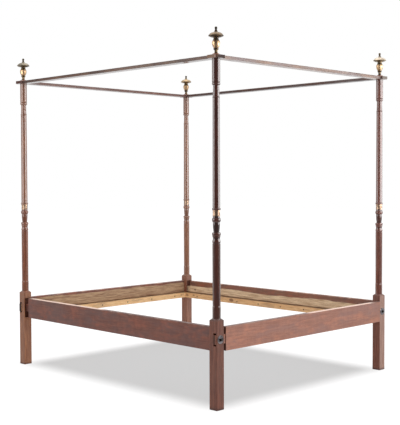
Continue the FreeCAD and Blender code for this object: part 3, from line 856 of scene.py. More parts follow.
@dataclass(frozen=True, kw_only=True)
class LegMahogany(TurnedMahogany):
    """A lower post: a duller square leg under its turned shaft, with raw, dark joint faces, and a
    painted grey reflection on its front faces.
    """

    joint_face: float
    end: int
    square_polish: Polish
    painted_front_sheen: float
    leg_top: Span = (0.541, 0.561)
    foot: Span = (0.002, 0.022)
    foot_darkening: float = 0.7
    sunk_by: Span = (0.001, 0.003)
    square_roughness: float = 0.14
    square_coat: float = 0.2
    raw: Colour = srgb(86, 45, 30)
    raw_roughness: float = 0.4

    def alter(self, draft: Draft, effects: Effects) -> None:
        """Dress the square leg, its painted front reflection, the empty joint faces and the foot.

        Args:
            draft: The material so far.
            effects: The shared node groups.
        """
        tree = draft.tree
        _, along, height = tree.axes(tree.place())
        square = tree.invert(tree.step(height, *self.leg_top))
        sawn = self.tinted(tree, draft.masks, self.square_polish)
        # Painted reflection: faces that look to the front get the greyer, paler polish as a grey
        # sheen.
        if self.painted_front_sheen:
            front_sheen = self.tinted(tree, draft.masks, GREY_SHEEN_POLISH)
            sawn = tree.tint(sawn, front_sheen, tree.facing("Y", -1), self.painted_front_sheen)
        depth = tree.math("SUBTRACT", tree.times(along, self.end), self.joint_face)
        sunk = tree.times(tree.step(depth, *self.sunk_by), tree.facing("Y", -self.end))
        sunk = tree.times(sunk, square)
        colour = tree.mix(sunk, tree.mix(square, draft.colour, sawn), self.raw)
        # Darker towards the foot's bottom, over its last 2 cm above the floor.
        dark_foot = tree.invert(tree.step(height, *self.foot))
        draft.colour = tree.tint(colour, self.square_polish.line, dark_foot, self.foot_darkening)
        rough = tree.math("ADD", draft.rough, tree.times(square, self.square_roughness))
        draft.rough = tree.math("ADD", rough, tree.times(sunk, self.raw_roughness), clamp=True)
        coat = tree.remap(square, self.coat, self.coat * self.square_coat)
        draft.coat = tree.times(coat, tree.invert(sunk))
        super().alter(draft, effects)


@dataclass(frozen=True, kw_only=True)
class BoardMahogany(Mahogany):
    """A board, pale along its top edge from wear and a painted highlight, with sawn ends."""

    top_edge: float
    least_edge_wear_and_highlight: float
    most_edge_wear_and_highlight: float = 0.95
    pale_rim: Span = (0.007, 0.001)
    end_amount: float = 0.9
    low_end: Colour | None = None
    high_end: Colour | None = None

    def alter(self, draft: Draft, effects: Effects) -> None:
        """Pale the top edge, as wear plus a painted highlight, and dress the sawn ends.

        Args:
            draft: The material so far.
            effects: The shared node groups.
        """
        tree = draft.tree
        # The pale top edge: rubbed wear, plus a painted highlight where the top catches the light.
        wear = tree.remap(draft.masks["Rubbed"], self.least_edge_wear_and_highlight, self.most_edge_wear_and_highlight)
        rubbed = tree.times(self.near_top(tree, self.pale_rim), wear)
        draft.colour = tree.mix(rubbed, draft.colour, self.polish.worn)
        for sign, shade in ((-1, self.low_end), (1, self.high_end)):
            sawn = self.polish.end_grain if shade is None else shade
            face = tree.facing(self.grain.name, sign)
            draft.colour = tree.tint(draft.colour, sawn, face, self.end_amount)

    def near_top(self, tree: Tree, rim: Span) -> Socket:
        """A mask of the board's top edge.

        Args:
            tree: The material's tree.
            rim: How far below the top it starts, and where it is complete.

        Returns:
            The mask's socket.
        """
        start, full = rim
        return tree.step(tree.along("Z"), self.top_edge - start, self.top_edge - full)


@dataclass(frozen=True, kw_only=True)
class RailMahogany(BoardMahogany):
    """A mottled rail: bare, stained wood inside, below a ragged band of polish."""

    side: Side
    cleat_top: float
    gloss: float = 0.42
    coat: float = 0.15
    coat_roughness: float = 0.25
    least_edge_wear_and_highlight: float = 0.10
    evened: float = 0.35
    rust: Colour = srgb(160, 86, 60)
    rust_amount: float = 0.45
    greyed: Colour = srgb(98, 76, 75)
    greyed_amount: float = 0.45
    ripple_amount: float = 0.20
    band_edge: float = 0.480
    band_blur: float = 0.004
    ragged_by: float = 0.024
    bare: Colour = srgb(198, 166, 132)
    bare_dark: Colour = srgb(156, 122, 93)
    bare_roughness: float = 0.4
    bare_stain: Colour = srgb(112, 76, 58)
    stain_amount: float = 0.75
    stained_pores: float = 0.4
    # Dirt and painted shadow just above the cleat, and a painted shadow line along the joint with
    # it.
    dirt_and_shade_above: Span = (-0.002, 0.014)
    dirt_and_shade_amount: float = 0.65
    seam_above: Span = (0.002, 0.009)
    seam_ragged_by: float = 0.004
    seam_dirt_and_shade: Colour = srgb(62, 38, 22)
    seam_dirt_and_shade_amount: float = 0.8
    # A stretch of the top edge with a painted highlight, and painted shade on the rest of that edge.
    highlight_stretch: Span | None = None
    highlight_blur: float = 0.04
    highlight_rim: Span = (0.004, 0.001)
    highlight_cover: Span = (0.6, 0.85)
    painted_highlight: Colour = srgb(252, 218, 198)
    painted_edge_shade: Colour = srgb(78, 54, 52)

    def alter(self, draft: Draft, effects: Effects) -> None:
        """Mottle the polish, bare the inside and dress the edges, some with a painted highlight and
        painted shade.

        Args:
            draft: The material so far.
            effects: The shared node groups.
        """
        tree = draft.tree
        self._mottle(draft, effects)
        height = tree.along("Z")
        ragged = RAGGED_EDGE.noise(tree, draft.place)
        level = tree.math("ADD", height, tree.remap(ragged, -self.ragged_by, self.ragged_by))
        below = tree.invert(tree.step(level, self.band_edge - self.band_blur,
                                      self.band_edge + self.band_blur))
        inside = tree.times(tree.facing(self.side.axis, -self.side.sign), below)
        draft.colour = tree.mix(inside, draft.colour, self._bare_wood(draft, height, ragged, level))
        super().alter(draft, effects)
        draft.rough = tree.math("ADD", draft.rough, tree.times(inside, self.bare_roughness),
                                clamp=True)
        draft.coat = tree.times(tree.invert(inside), self.coat_off_ends(draft))
        if self.highlight_stretch is not None:
            self._bare_edge(draft)

    def _mottle(self, draft: Draft, effects: Effects) -> None:
        """Grey the polish broadly, and add rusty patches and ripples.

        Args:
            draft: The material so far.
            effects: The shared node groups.
        """
        tree = draft.tree
        mottle = tree.placed(effects.mottle, place=draft.place)
        even = tree.mix(0.5, self.polish.deep, self.polish.warm)
        colour = tree.mix(self.evened, draft.colour, even)
        for name, shade, amount in (("Greying", self.greyed, self.greyed_amount),
                                    ("Patches", self.rust, self.rust_amount),
                                    ("Ripples", self.polish.deep, self.ripple_amount)):
            colour = tree.tint(colour, shade, mottle[name], amount)
        draft.colour = colour

    def _bare_wood(self, draft: Draft, height: Socket, ragged: Socket, level: Socket) -> Socket:
        """The wood inside the rail: streaked and stained, with dirt and painted shadow down to its
        cleat.

        Args:
            draft: The material so far.
            height: The height on the rail.
            ragged: The noise that makes edges ragged.
            level: The height, made ragged.

        Returns:
            The colour's socket.
        """
        tree = draft.tree
        raw = tree.mix(draft.masks["Streaks"], self.bare_dark, self.bare)
        raw = tree.tint(raw, self.bare_stain, BARE_STAIN.mask(tree, draft.place), self.stain_amount)
        raw = tree.tint(raw, self.bare_stain, draft.masks["Pores"], self.stained_pores)
        # Dirt and painted shadow above the cleat, then a painted shadow line along the joint.
        clean = self._above_cleat(tree, level, self.dirt_and_shade_above)
        raw = tree.tint(raw, self.bare_stain, tree.invert(clean), self.dirt_and_shade_amount)
        seam = tree.remap(ragged, -self.seam_ragged_by, self.seam_ragged_by)
        clean = self._above_cleat(tree, tree.math("ADD", height, seam), self.seam_above)
        return tree.tint(raw, self.seam_dirt_and_shade, tree.invert(clean), self.seam_dirt_and_shade_amount)

    def _above_cleat(self, tree: Tree, height: Socket, span: Span) -> Socket:
        """A mask of what lies above the cleat.

        Args:
            tree: The material's tree.
            height: The height on the rail.
            span: How far above the cleat's top it starts, and where it is complete.

        Returns:
            The mask's socket.
        """
        return tree.step(height, *(self.cleat_top + above for above in span))

    def _bare_edge(self, draft: Draft) -> None:
        """Paint a highlight on a stretch of the top edge, and painted shade on the rest of it.

        Args:
            draft: The material so far.
        """
        tree = draft.tree
        run = tree.band(tree.along(self.grain.name), *self.highlight_stretch, self.highlight_blur)
        cover = tree.times(self.near_top(tree, self.highlight_rim),
                           tree.remap(run, *self.highlight_cover))
        # Painted highlight on the stretch, painted shade on the rest of the top rim.
        draft.colour = tree.mix(cover, draft.colour, tree.mix(run, self.painted_edge_shade, self.painted_highlight))


@dataclass(frozen=True, kw_only=True)
class BattenMahogany(BoardMahogany):
    """A tester batten: rubbed dull on its sides, in grey and tan stretches, and glossy below."""

    under_coat: float
    greyed: Colour
    tanned: Colour
    greyed_amount: float = 0.6
    tanned_amount: float = 0.3
    streak_width: float = 0.014
    gloss: float = 0.34
    coat: float = 0.08
    coat_roughness: float = 0.10
    specular: float = 0.1
    least_edge_wear_and_highlight: float = 0.30

    def alter(self, draft: Draft, effects: Effects) -> None:
        """Add the stretches, the edges and the gloss below.

        Args:
            draft: The material so far.
            effects: The shared node groups.
        """
        tree = draft.tree
        mottle = tree.placed(effects.mottle, place=draft.place)
        colour = tree.tint(draft.colour, self.greyed, mottle["Greying"], self.greyed_amount)
        draft.colour = tree.tint(colour, self.tanned, mottle["Patches"], self.tanned_amount)
        super().alter(draft, effects)
        gloss_below = tree.times(tree.facing("Z", -1), self.under_coat - self.coat)
        draft.coat = tree.math("ADD", self.coat_off_ends(draft), gloss_below)


@dataclass(frozen=True)
class Knot:
    """A knot in a cleat's inner face: its heart, its radius and how dark it is."""

    along: float
    height: float
    radius: float = 0.009
    strength: float = 1.0


@dataclass(frozen=True)
class Pine:
    """Planed pine with close grain lines, knots and a darker top."""

    name: str
    side: Side
    seed: float
    face: float
    knots: tuple[Knot, ...]
    pale: Colour = srgb(242, 199, 146)
    amber: Colour = srgb(216, 163, 108)
    line: Colour = srgb(158, 106, 66)
    grime: Colour = srgb(150, 118, 92)
    darker_top: Colour = srgb(96, 64, 38)
    knot_wood: Colour = srgb(104, 52, 22)
    streak_width: float = 0.006
    line_spacing: float = 0.005
    line_waver: float = 2.2
    line_range: Span = (0.6, 1.0)
    line_amount: float = 0.55
    grime_range: Span = (0.5, 1.0)
    grime_amount: float = 0.4
    ring_range: Span = (0.55, 0.85)
    darker_top_range: Span = (0.45, 0.75)
    roughness: Span = (0.62, 0.78)
    relief_strength: float = 0.3
    relief_depth: float = 0.0004
    ior: float = 1.45

    def build(self, effects: Effects) -> bpy.types.Material:
        """Make the material.

        Args:
            effects: The shared node groups.

        Returns:
            The material.
        """
        material, tree, shader = new_material(self.name)
        place = along_grain(tree, self.side.grain, self.seed)
        figure = tree.placed(effects.figure, place=place, streak_width=self.streak_width,
                             line_spacing=self.line_spacing, line_waver=self.line_waver)
        colour = tree.mix(figure["Streaks"], self.amber, self.pale)
        lines = tree.step(figure["Lines"], *self.line_range)
        colour = tree.tint(colour, self.line, lines, self.line_amount)
        grimy = tree.step(figure["Clouds"], *self.grime_range)
        colour = tree.tint(colour, self.grime, grimy, self.grime_amount)
        for knot in self.knots:
            made = tree.placed(effects.knot, place=place, heart=self._heart(knot),
                               radius=knot.radius)
            rings = tree.remap(tree.math("ADD", made["Rings"], 1.0), *self.ring_range)
            dark = tree.math("MULTIPLY", made["Knot"], rings, clamp=True)
            colour = tree.tint(colour, self.knot_wood, dark, knot.strength)
        # Upward faces are darker, in clouds.
        top = tree.times(tree.facing("Z", 1), tree.remap(figure["Clouds"], *self.darker_top_range))
        shader.inputs["IOR"].default_value = self.ior
        draft = Draft(material, tree, shader, place, figure,
                      colour=tree.mix(top, colour, self.darker_top),
                      rough=tree.remap(figure["Streaks"], *self.roughness))
        return draft.finish(tree.math("ADD", figure["Lines"], figure["Pores"]),
                            self.relief_strength, self.relief_depth)

    def _heart(self, knot: Knot) -> Place:
        """Find a knot's heart.

        Args:
            knot: The knot.

        Returns:
            Its heart's place in the wood, as along_grain gives places.
        """
        heart = {self.side.axis: self.face, self.side.grain.name: knot.along, "Z": knot.height}
        return tuple(heart[axis] + shift
                     for axis, shift in zip(self.side.grain.value, own_shift(self.seed)))


@dataclass(frozen=True)
class Metal:
    """Metal with stains, specks and small dents."""

    name: str
    clean: Colour
    stained: Colour
    spread: float
    smooth: float
    dull: float
    bare_metal: float = 0.85
    speck_amount: float = 0.35
    relief_strength: float = 0.25
    relief_depth: float = 0.0003

    def build(self, effects: Effects) -> bpy.types.Material:
        """Make the material.

        Args:
            effects: The shared node groups.

        Returns:
            The material.
        """
        material, tree, shader = new_material(self.name)
        place = tree.place()
        tarnish = tree.placed(effects.tarnish, place=place, spread=self.spread)
        colour = tree.mix(tarnish["Stain"], self.clean, self.stained)
        draft = Draft(material, tree, shader, place, tarnish,
                      colour=tree.tint(colour, self.stained, tarnish["Specks"],
                                       self.speck_amount),
                      rough=tree.remap(tarnish["Stain"], self.smooth, self.dull),
                      metallic=tree.remap(tarnish["Stain"], 1.0, self.bare_metal))
        self.alter(draft)
        return draft.finish(tarnish["Stain"], self.relief_strength, self.relief_depth)

    def alter(self, draft: Draft) -> None:
        """Write what only one kind of piece has, which is nothing here.

        Args:
            draft: The material so far.
        """


@dataclass(frozen=True, kw_only=True)
class CapBrass(Metal):
    """A finial's cap: lighter on top, rubbed there and with painted top light, with its spire left
    dark.
    """

    rubbed: Colour
    rubbed_range: Span = (0.10, 0.60)
    rubbed_amount: float = 0.85
    spire_foot: Span = (2.2925, 2.3105)
    spire_amount: float = 0.85
    bare_metal: float = 0.35

    def alter(self, draft: Draft) -> None:
        """Lighten the top, as rubbing plus painted top light, and darken the spire.

        Args:
            draft: The material so far.
        """
        tree = draft.tree
        # Upward faces are lighter: rubbed brass, plus painted light from above.
        upward = tree.axes(tree.node("NewGeometry").outputs["Normal"])[2]
        top = tree.step(upward, *self.rubbed_range)
        colour = tree.tint(draft.colour, self.rubbed, top, self.rubbed_amount)
        spire = tree.step(tree.along("Z"), *self.spire_foot)
        draft.colour = tree.tint(colour, self.stained, spire, self.spire_amount)


@dataclass(frozen=True, kw_only=True)
class UrnBrass(Metal):
    """A finial's urn: dull, with its belly polished."""

    belly: Span = (2.2015, 2.2465)
    belly_blur: float = 0.002
    least_polish: float = 0.62
    polished: Colour = srgb(190, 158, 122)
    polished_roughness: float = 0.33
    bare_metal: float = 0.35

    def alter(self, draft: Draft) -> None:
        """Polish the belly.

        Args:
            draft: The material so far.
        """
        tree = draft.tree
        belly = tree.times(tree.band(tree.along("Z"), *self.belly, self.belly_blur),
                           tree.remap(draft.masks["Stain"], 1.0, self.least_polish))
        draft.colour = tree.mix(belly, draft.colour, self.polished)
        smoother = tree.times(belly, self.smooth - self.polished_roughness)
        draft.rough = tree.math("SUBTRACT", draft.rough, smoother)
        draft.metallic = tree.math("MAXIMUM", draft.metallic, belly)


class MetalFinish(Enum):
    """The metals of the bed's small pieces."""

    COLLAR = Metal("bright_brass", srgb(170, 144, 122), srgb(106, 82, 63), 0.46, 0.36, 0.50,
                   bare_metal=0.6)
    URN = UrnBrass("urn_brass", srgb(106, 87, 60), srgb(54, 43, 31), 0.55, 0.34, 0.54)
    CAP = CapBrass("patinated_brass", srgb(146, 120, 84), srgb(66, 53, 38), 0.55, 0.32, 0.54,
                   rubbed=srgb(178, 154, 122))
    DARK_CAP = CapBrass("dark_patinated_brass", srgb(98, 79, 55), srgb(52, 41, 31), 0.58, 0.32,
                        0.54, rubbed=srgb(126, 107, 85))
    GREY_CAP = CapBrass("grey_patinated_brass", srgb(108, 96, 76), srgb(66, 56, 42), 0.58, 0.34,
                        0.56, rubbed=srgb(142, 133, 116))
    PALE_CAP = CapBrass("pale_patinated_brass", srgb(150, 132, 104), srgb(72, 60, 46), 0.50, 0.32,
                        0.52, rubbed=srgb(204, 188, 168))
    IRON = Metal("blackened_iron", srgb(84, 80, 78), srgb(34, 29, 27), 0.6, 0.30, 0.55)
    WORN_IRON = Metal("worn_iron", srgb(128, 124, 127), srgb(62, 56, 56), 0.50, 0.28, 0.48)
    RUSTY_STEEL = Metal("rusty_steel", srgb(104, 78, 58), srgb(70, 42, 26), 0.55, 0.42, 0.64,
                        bare_metal=0.5)
    ZINC = Metal("dull_zinc", srgb(150, 144, 136), srgb(92, 82, 74), 0.5, 0.38, 0.60)


Finish = Mahogany | Pine | Metal


class Workshop:
    """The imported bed, the shared effects, and the materials made from them so far."""

    def __init__(self, frame: dict) -> None:
        """Build the effects, and start with no material made.
        """
        self.frame = frame
        self.effects = Effects()
        self.made: dict[Finish, bpy.types.Material] = {}

    def material(self, finish: Finish) -> bpy.types.Material:
        """Make a finish's material, or give the one that was made before.

        Args:
            finish: The finish.

        Returns:
            Its material.
        """
        if finish not in self.made:
            self.made[finish] = finish.build(self.effects)
        return self.made[finish]

    def dress(self, node: str, finish: Finish) -> None:
        """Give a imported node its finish.

        Args:
            node: The node's name.
            finish: The finish.
        """
        mesh = self.frame["nodes"][node].data
        mesh.materials.clear()
        mesh.materials.append(self.material(finish))
        LOG.info("dressed %s in %s", node, finish.name)


@dataclass
class Post:
    """One corner post: leg, collar, upper post, plinth, finial, pin, bolt and washer."""

    corner: Corner
    seed: float
    leg: Polish
    shaft: Polish
    square: Polish = LEG_POLISH
    cap: MetalFinish = MetalFinish.CAP
    # How much painted grey reflection the leg's front faces get.
    painted_front_sheen: float = 0.0
    quirk_amount: float = 0.6
    haze: float = 0.07
    leg_coat: float = 0.9
    shaft_coat: float = 1.0
    shaft_shift: float = 3.1
    plinth_shift: float = 5.3

    def finishes(self) -> dict[str, Finish]:
        """Choose the finish of every piece of the post.

        Returns:
            Each piece's name, without its corner, with its finish.
        """
        label = self.corner.value
        low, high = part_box("upper_post_" + label)
        turned = {"axis": ((low.x + high.x) / 2, (low.y + high.y) / 2),
                  "quirk_amount": self.quirk_amount, "coat_roughness": self.haze}
        joint_face = min(abs(bound.y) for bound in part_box("lower_post_" + label))
        leg = LegMahogany("leg_" + label, Grain.Z, self.seed, self.leg, coat=self.leg_coat,
                          joint_face=joint_face, end=self.corner.end, square_polish=self.square,
                          painted_front_sheen=self.painted_front_sheen, **turned)
        shaft = TurnedMahogany("shaft_" + label, Grain.Z, self.seed + self.shaft_shift,
                               self.shaft, coat=self.shaft_coat, **turned)
        plinth = Mahogany("plinth_" + label, Grain.Z, self.seed + self.plinth_shift,
                          FADED_POLISH)
        return {"lower_post": leg, "upper_post": shaft, "finial_plinth": plinth,
                "brass_collar": MetalFinish.COLLAR.value, "finial_urn": MetalFinish.URN.value,
                "finial_cap": self.cap.value, "tester_pin": MetalFinish.IRON.value,
                "bed_bolt": MetalFinish.IRON.value, "bolt_washer": MetalFinish.WORN_IRON.value}

    def dress(self, workshop: Workshop) -> None:
        """Dress every piece of the post.

        Args:
            workshop: Where the materials are made.
        """
        for piece, finish in self.finishes().items():
            workshop.dress("%s_%s" % (piece, self.corner.value), finish)


@dataclass
class Rails:
    """The four rails, their cleats and the nuts inside them."""

    # Stretches of the front and left rails' top edges where a highlight is painted.
    front_highlight: Span = (0.0, 0.74)
    left_highlight: Span = (0.06, 0.93)
    right_knots: tuple[Knot, ...] = (Knot(0.424, 0.388, 0.013), Knot(0.962, 0.386, 0.009, 0.8),
                                     Knot(0.880, 0.390, 0.006, 0.8))
    back_knots: tuple[Knot, ...] = (Knot(0.756, 0.387, 0.007, 0.8),)
    left_knots: tuple[Knot, ...] = (Knot(-0.52, 0.379),)
    front_knots: tuple[Knot, ...] = (Knot(-0.41, 0.380),)

    def dress(self, workshop: Workshop) -> None:
        """Dress the rails, cleats and nuts.

        Args:
            workshop: Where the materials are made.
        """
        rails = {
            Side.FRONT: {"seed": 2.7, "polish": FADED_POLISH, "band_edge": 0.488,
                         "rust": srgb(208, 136, 104), "greyed": srgb(148, 116, 110),
                         "highlight_stretch": self.front_highlight},
            Side.BACK: {"seed": 6.1, "polish": SIDE_POLISH, "band_edge": 0.494,
                        "stain_amount": 0.65},
            Side.LEFT: {"seed": 9.4, "polish": SIDE_POLISH, "highlight_stretch": self.left_highlight},
            # The right rail's bare inside is painted paler, as painted light for the light that its
            # inward face lacks.
            Side.RIGHT: {"seed": 13.2, "polish": BROWN_POLISH, "band_edge": 0.466,
                         "stain_amount": 0.2, "bare": srgb(241, 213, 176),
                         "bare_dark": srgb(198, 165, 131)}}
        for side, look in rails.items():
            node = "%s_rail_%s" % (side.kind, side.label)
            cleat = "%s_cleat_%s" % (side.kind, side.label)
            workshop.dress(node, RailMahogany(node + "_wood", side.grain, side=side,
                                              top_edge=top_of(node), cleat_top=top_of(cleat),
                                              **look))
        cleats = {
            Side.RIGHT: {"seed": 1.3, "knots": self.right_knots},
            Side.LEFT: {"seed": 3.9, "knots": self.left_knots},
            Side.BACK: {"seed": 5.6, "knots": self.back_knots, "pale": srgb(252, 214, 160),
                        "amber": srgb(231, 180, 122)},
            Side.FRONT: {"seed": 8.2, "knots": self.front_knots}}
        for side, look in cleats.items():
            node = "%s_cleat_%s" % (side.kind, side.label)
            workshop.dress(node, Pine(node + "_pine", side, face=inner_face(node, side), **look))
        workshop.dress("rail_nuts", MetalFinish.ZINC.value)


class Tester:
    """The four battens on top of the posts."""

    def dress(self, workshop: Workshop) -> None:
        """Dress the battens.

        Args:
            workshop: Where the materials are made.
        """
        battens = {
            Side.FRONT: {"seed": 17.5, "polish": FRONT_BATTEN_POLISH, "under_coat": 0.55,
                         "greyed": srgb(146, 134, 138), "tanned": srgb(186, 158, 138),
                         "low_end": srgb(150, 120, 100), "high_end": srgb(120, 92, 78)},
            Side.BACK: {"seed": 19.1, "polish": BACK_BATTEN_POLISH, "under_coat": 0.5,
                        "greyed": srgb(116, 98, 96), "tanned": srgb(138, 106, 92),
                        "low_end": srgb(96, 62, 54), "high_end": srgb(104, 76, 64)},
            Side.LEFT: {"seed": 23.7, "polish": LEFT_BATTEN_POLISH, "under_coat": 0.75,
                        "greyed": srgb(82, 68, 64), "tanned": srgb(158, 124, 98),
                        "low_end": srgb(62, 44, 40), "high_end": srgb(104, 76, 64)},
            Side.RIGHT: {"seed": 29.3, "polish": RIGHT_BATTEN_POLISH, "under_coat": 0.4,
                         "greyed": srgb(92, 82, 82), "tanned": srgb(110, 80, 70),
                         "low_end": srgb(158, 144, 134), "high_end": srgb(110, 84, 72)}}
        for side, look in battens.items():
            node = "tester_%s_%s" % (side.kind, side.label)
            workshop.dress(node, BattenMahogany(node + "_wood", side.grain, top_edge=top_of(node),
                                                **look))


@dataclass
class CleatScrews:
    """The slotted screws of one cleat, modelled in place of the plain ones."""

    side: Side
    head_radius: float = 0.0055
    head_depth: float = 0.004
    shank_radius: float = 0.0025
    slot_width: float = 0.0013
    slot_depth: float = 0.0009
    shank_share: float = 0.86
    tip_share: float = 0.15
    core_gap: float = 0.0004
    face_tolerance: float = 0.00001
    first_turn: float = 0.7
    next_turn: float = 1.9
    sides: int = 24

    @property
    def node(self) -> str:
        """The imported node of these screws."""
        return "cleat_screws_" + self.side.label

    @property
    def slot_floor_radius(self) -> float:
        """The head's radius at the depth of its slot."""
        share = self.slot_depth / self.head_depth
        return self.head_radius + (self.shank_radius - self.head_radius) * share

    def places(self) -> list[Vector]:
        """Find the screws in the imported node, where points closer than two heads are one screw.

        Returns:
            The centre of each screw's head, in order along the cleat.
        """
        across = AXES.index(self.side.axis)
        along = 1 - across
        level = inner_face(self.node, self.side)
        rim = [vertex.co.copy() for vertex in bpy.data.objects[self.node].data.vertices
               if abs(vertex.co[across] - level) < self.face_tolerance]
        heads: list[list[Vector]] = []
        for point in sorted(rim, key=lambda place: place[along]):
            if heads and point[along] - heads[-1][0][along] < 4 * self.head_radius:
                heads[-1].append(point)
            else:
                heads.append([point])
        return [Vector([(min(values) + max(values)) / 2 for values in zip(*points)])
                for points in heads]

    def build(self, workshop: Workshop) -> None:
        """Model the screws.

        Args:
            workshop: Where the materials are made.
        """
        across = AXES.index(self.side.axis)
        low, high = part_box(self.node)
        way_in = Vector([self.side.sign if axis == self.side.axis else 0 for axis in AXES])
        lay = Vector((0, 0, 1)).rotation_difference(way_in).to_matrix().to_4x4()
        mesh = bmesh.new()
        for index, centre in enumerate(self.places()):
            turn = Matrix.Rotation(self.first_turn + self.next_turn * index, 4, "Z")
            self._screw(mesh, Matrix.Translation(centre) @ lay @ turn, (high - low)[across])
        data = bpy.data.meshes.new(self.node + "_slotted")
        mesh.to_mesh(data)
        mesh.free()
        data.materials.append(workshop.material(MetalFinish.RUSTY_STEEL.value))
        piece = bpy.data.objects.new(self.node + "_slotted", data)
        bpy.context.scene.collection.objects.link(piece)
        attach(piece, "frame")
        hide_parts(self.node)
        LOG.info("modelled %s", piece.name)

    def _screw(self, mesh: bmesh.types.BMesh, lay: Matrix, length: float) -> None:
        """Add one screw: a countersunk head cut by a slot, a shank and a point.

        Args:
            mesh: The mesh to add it to.
            lay: Where it lies.
            length: How long it is.
        """
        for side in (-1, 1):
            self._half_head(mesh, lay, side)
        rings = ((self.slot_depth, self.slot_floor_radius - self.core_gap),
                 (self.head_depth, self.shank_radius),
                 (length * self.shank_share, self.shank_radius),
                 (length, self.shank_radius * self.tip_share))
        angles = [2 * math.pi * step / self.sides for step in range(self.sides)]
        loops = []
        for depth, radius in rings:
            loops.append([mesh.verts.new(lay @ Vector((radius * math.cos(angle),
                                                       radius * math.sin(angle), depth)))
                          for angle in angles])
        self._face(mesh, loops[0], False)
        for upper, lower in zip(loops, loops[1:]):
            for step in range(self.sides):
                after = (step + 1) % self.sides
                self._face(mesh, [upper[step], lower[step], lower[after], upper[after]], True)
        self._face(mesh, loops[-1], True)

    def _half_head(self, mesh: bmesh.types.BMesh, lay: Matrix, side: int) -> None:
        """Add the part of a head on one side of its slot.

        Args:
            mesh: The mesh to add it to.
            lay: Where the screw lies.
            side: 1 or -1.
        """
        half_slot = self.slot_width / 2
        half = self.sides // 2
        start = math.asin(half_slot / self.head_radius)
        angles = [start + (math.pi - 2 * start) * step / half for step in range(half + 1)]
        rim = [Vector((math.cos(angle), side * math.sin(angle), 0)) * self.head_radius
               for angle in angles]
        top = [mesh.verts.new(lay @ point) for point in rim]
        floor = []
        for point in rim:
            lower = point * (self.slot_floor_radius / self.head_radius)
            lower.y = side * max(abs(lower.y), half_slot)
            lower.z = self.slot_depth
            floor.append(mesh.verts.new(lay @ lower))
        self._face(mesh, top, side < 0)
        for first, second in zip(range(half), range(1, half + 1)):
            self._face(mesh, [top[first], floor[first], floor[second], top[second]], side < 0)
        self._face(mesh, [top[0], top[-1], floor[-1], floor[0]], side < 0)
        self._face(mesh, floor, side > 0)

    @staticmethod
    def _face(mesh: bmesh.types.BMesh, loop: list[bmesh.types.BMVert], flip: bool) -> None:
        """Add one face, turned round where flip says so."""
        mesh.faces.new(list(reversed(loop)) if flip else loop)


@dataclass(frozen=True)
class SoftBox:
    """A flat lamp with an even face."""

    name: str
    place: Place
    target: Place
    width: float
    height: float
    brightness: float
    mirrored_only: bool = False

    def build(self) -> None:
        """Hang the lamp and aim it."""
        data = bpy.data.lights.new(self.name, "AREA")
        data.shape = "RECTANGLE"
        data.size = self.width
        data.size_y = self.height
        data.energy = self.brightness * math.pi * self.width * self.height
        lamp = bpy.data.objects.new(self.name, data)
        aim = Vector(self.target) - Vector(self.place)
        turn = aim.to_track_quat("-Z", "Y").to_matrix().to_4x4()
        lamp.matrix_world = Matrix.Translation(Vector(self.place)) @ turn
        lamp.visible_camera = False
        lamp.visible_diffuse = not self.mirrored_only
        bpy.context.scene.collection.objects.link(lamp)


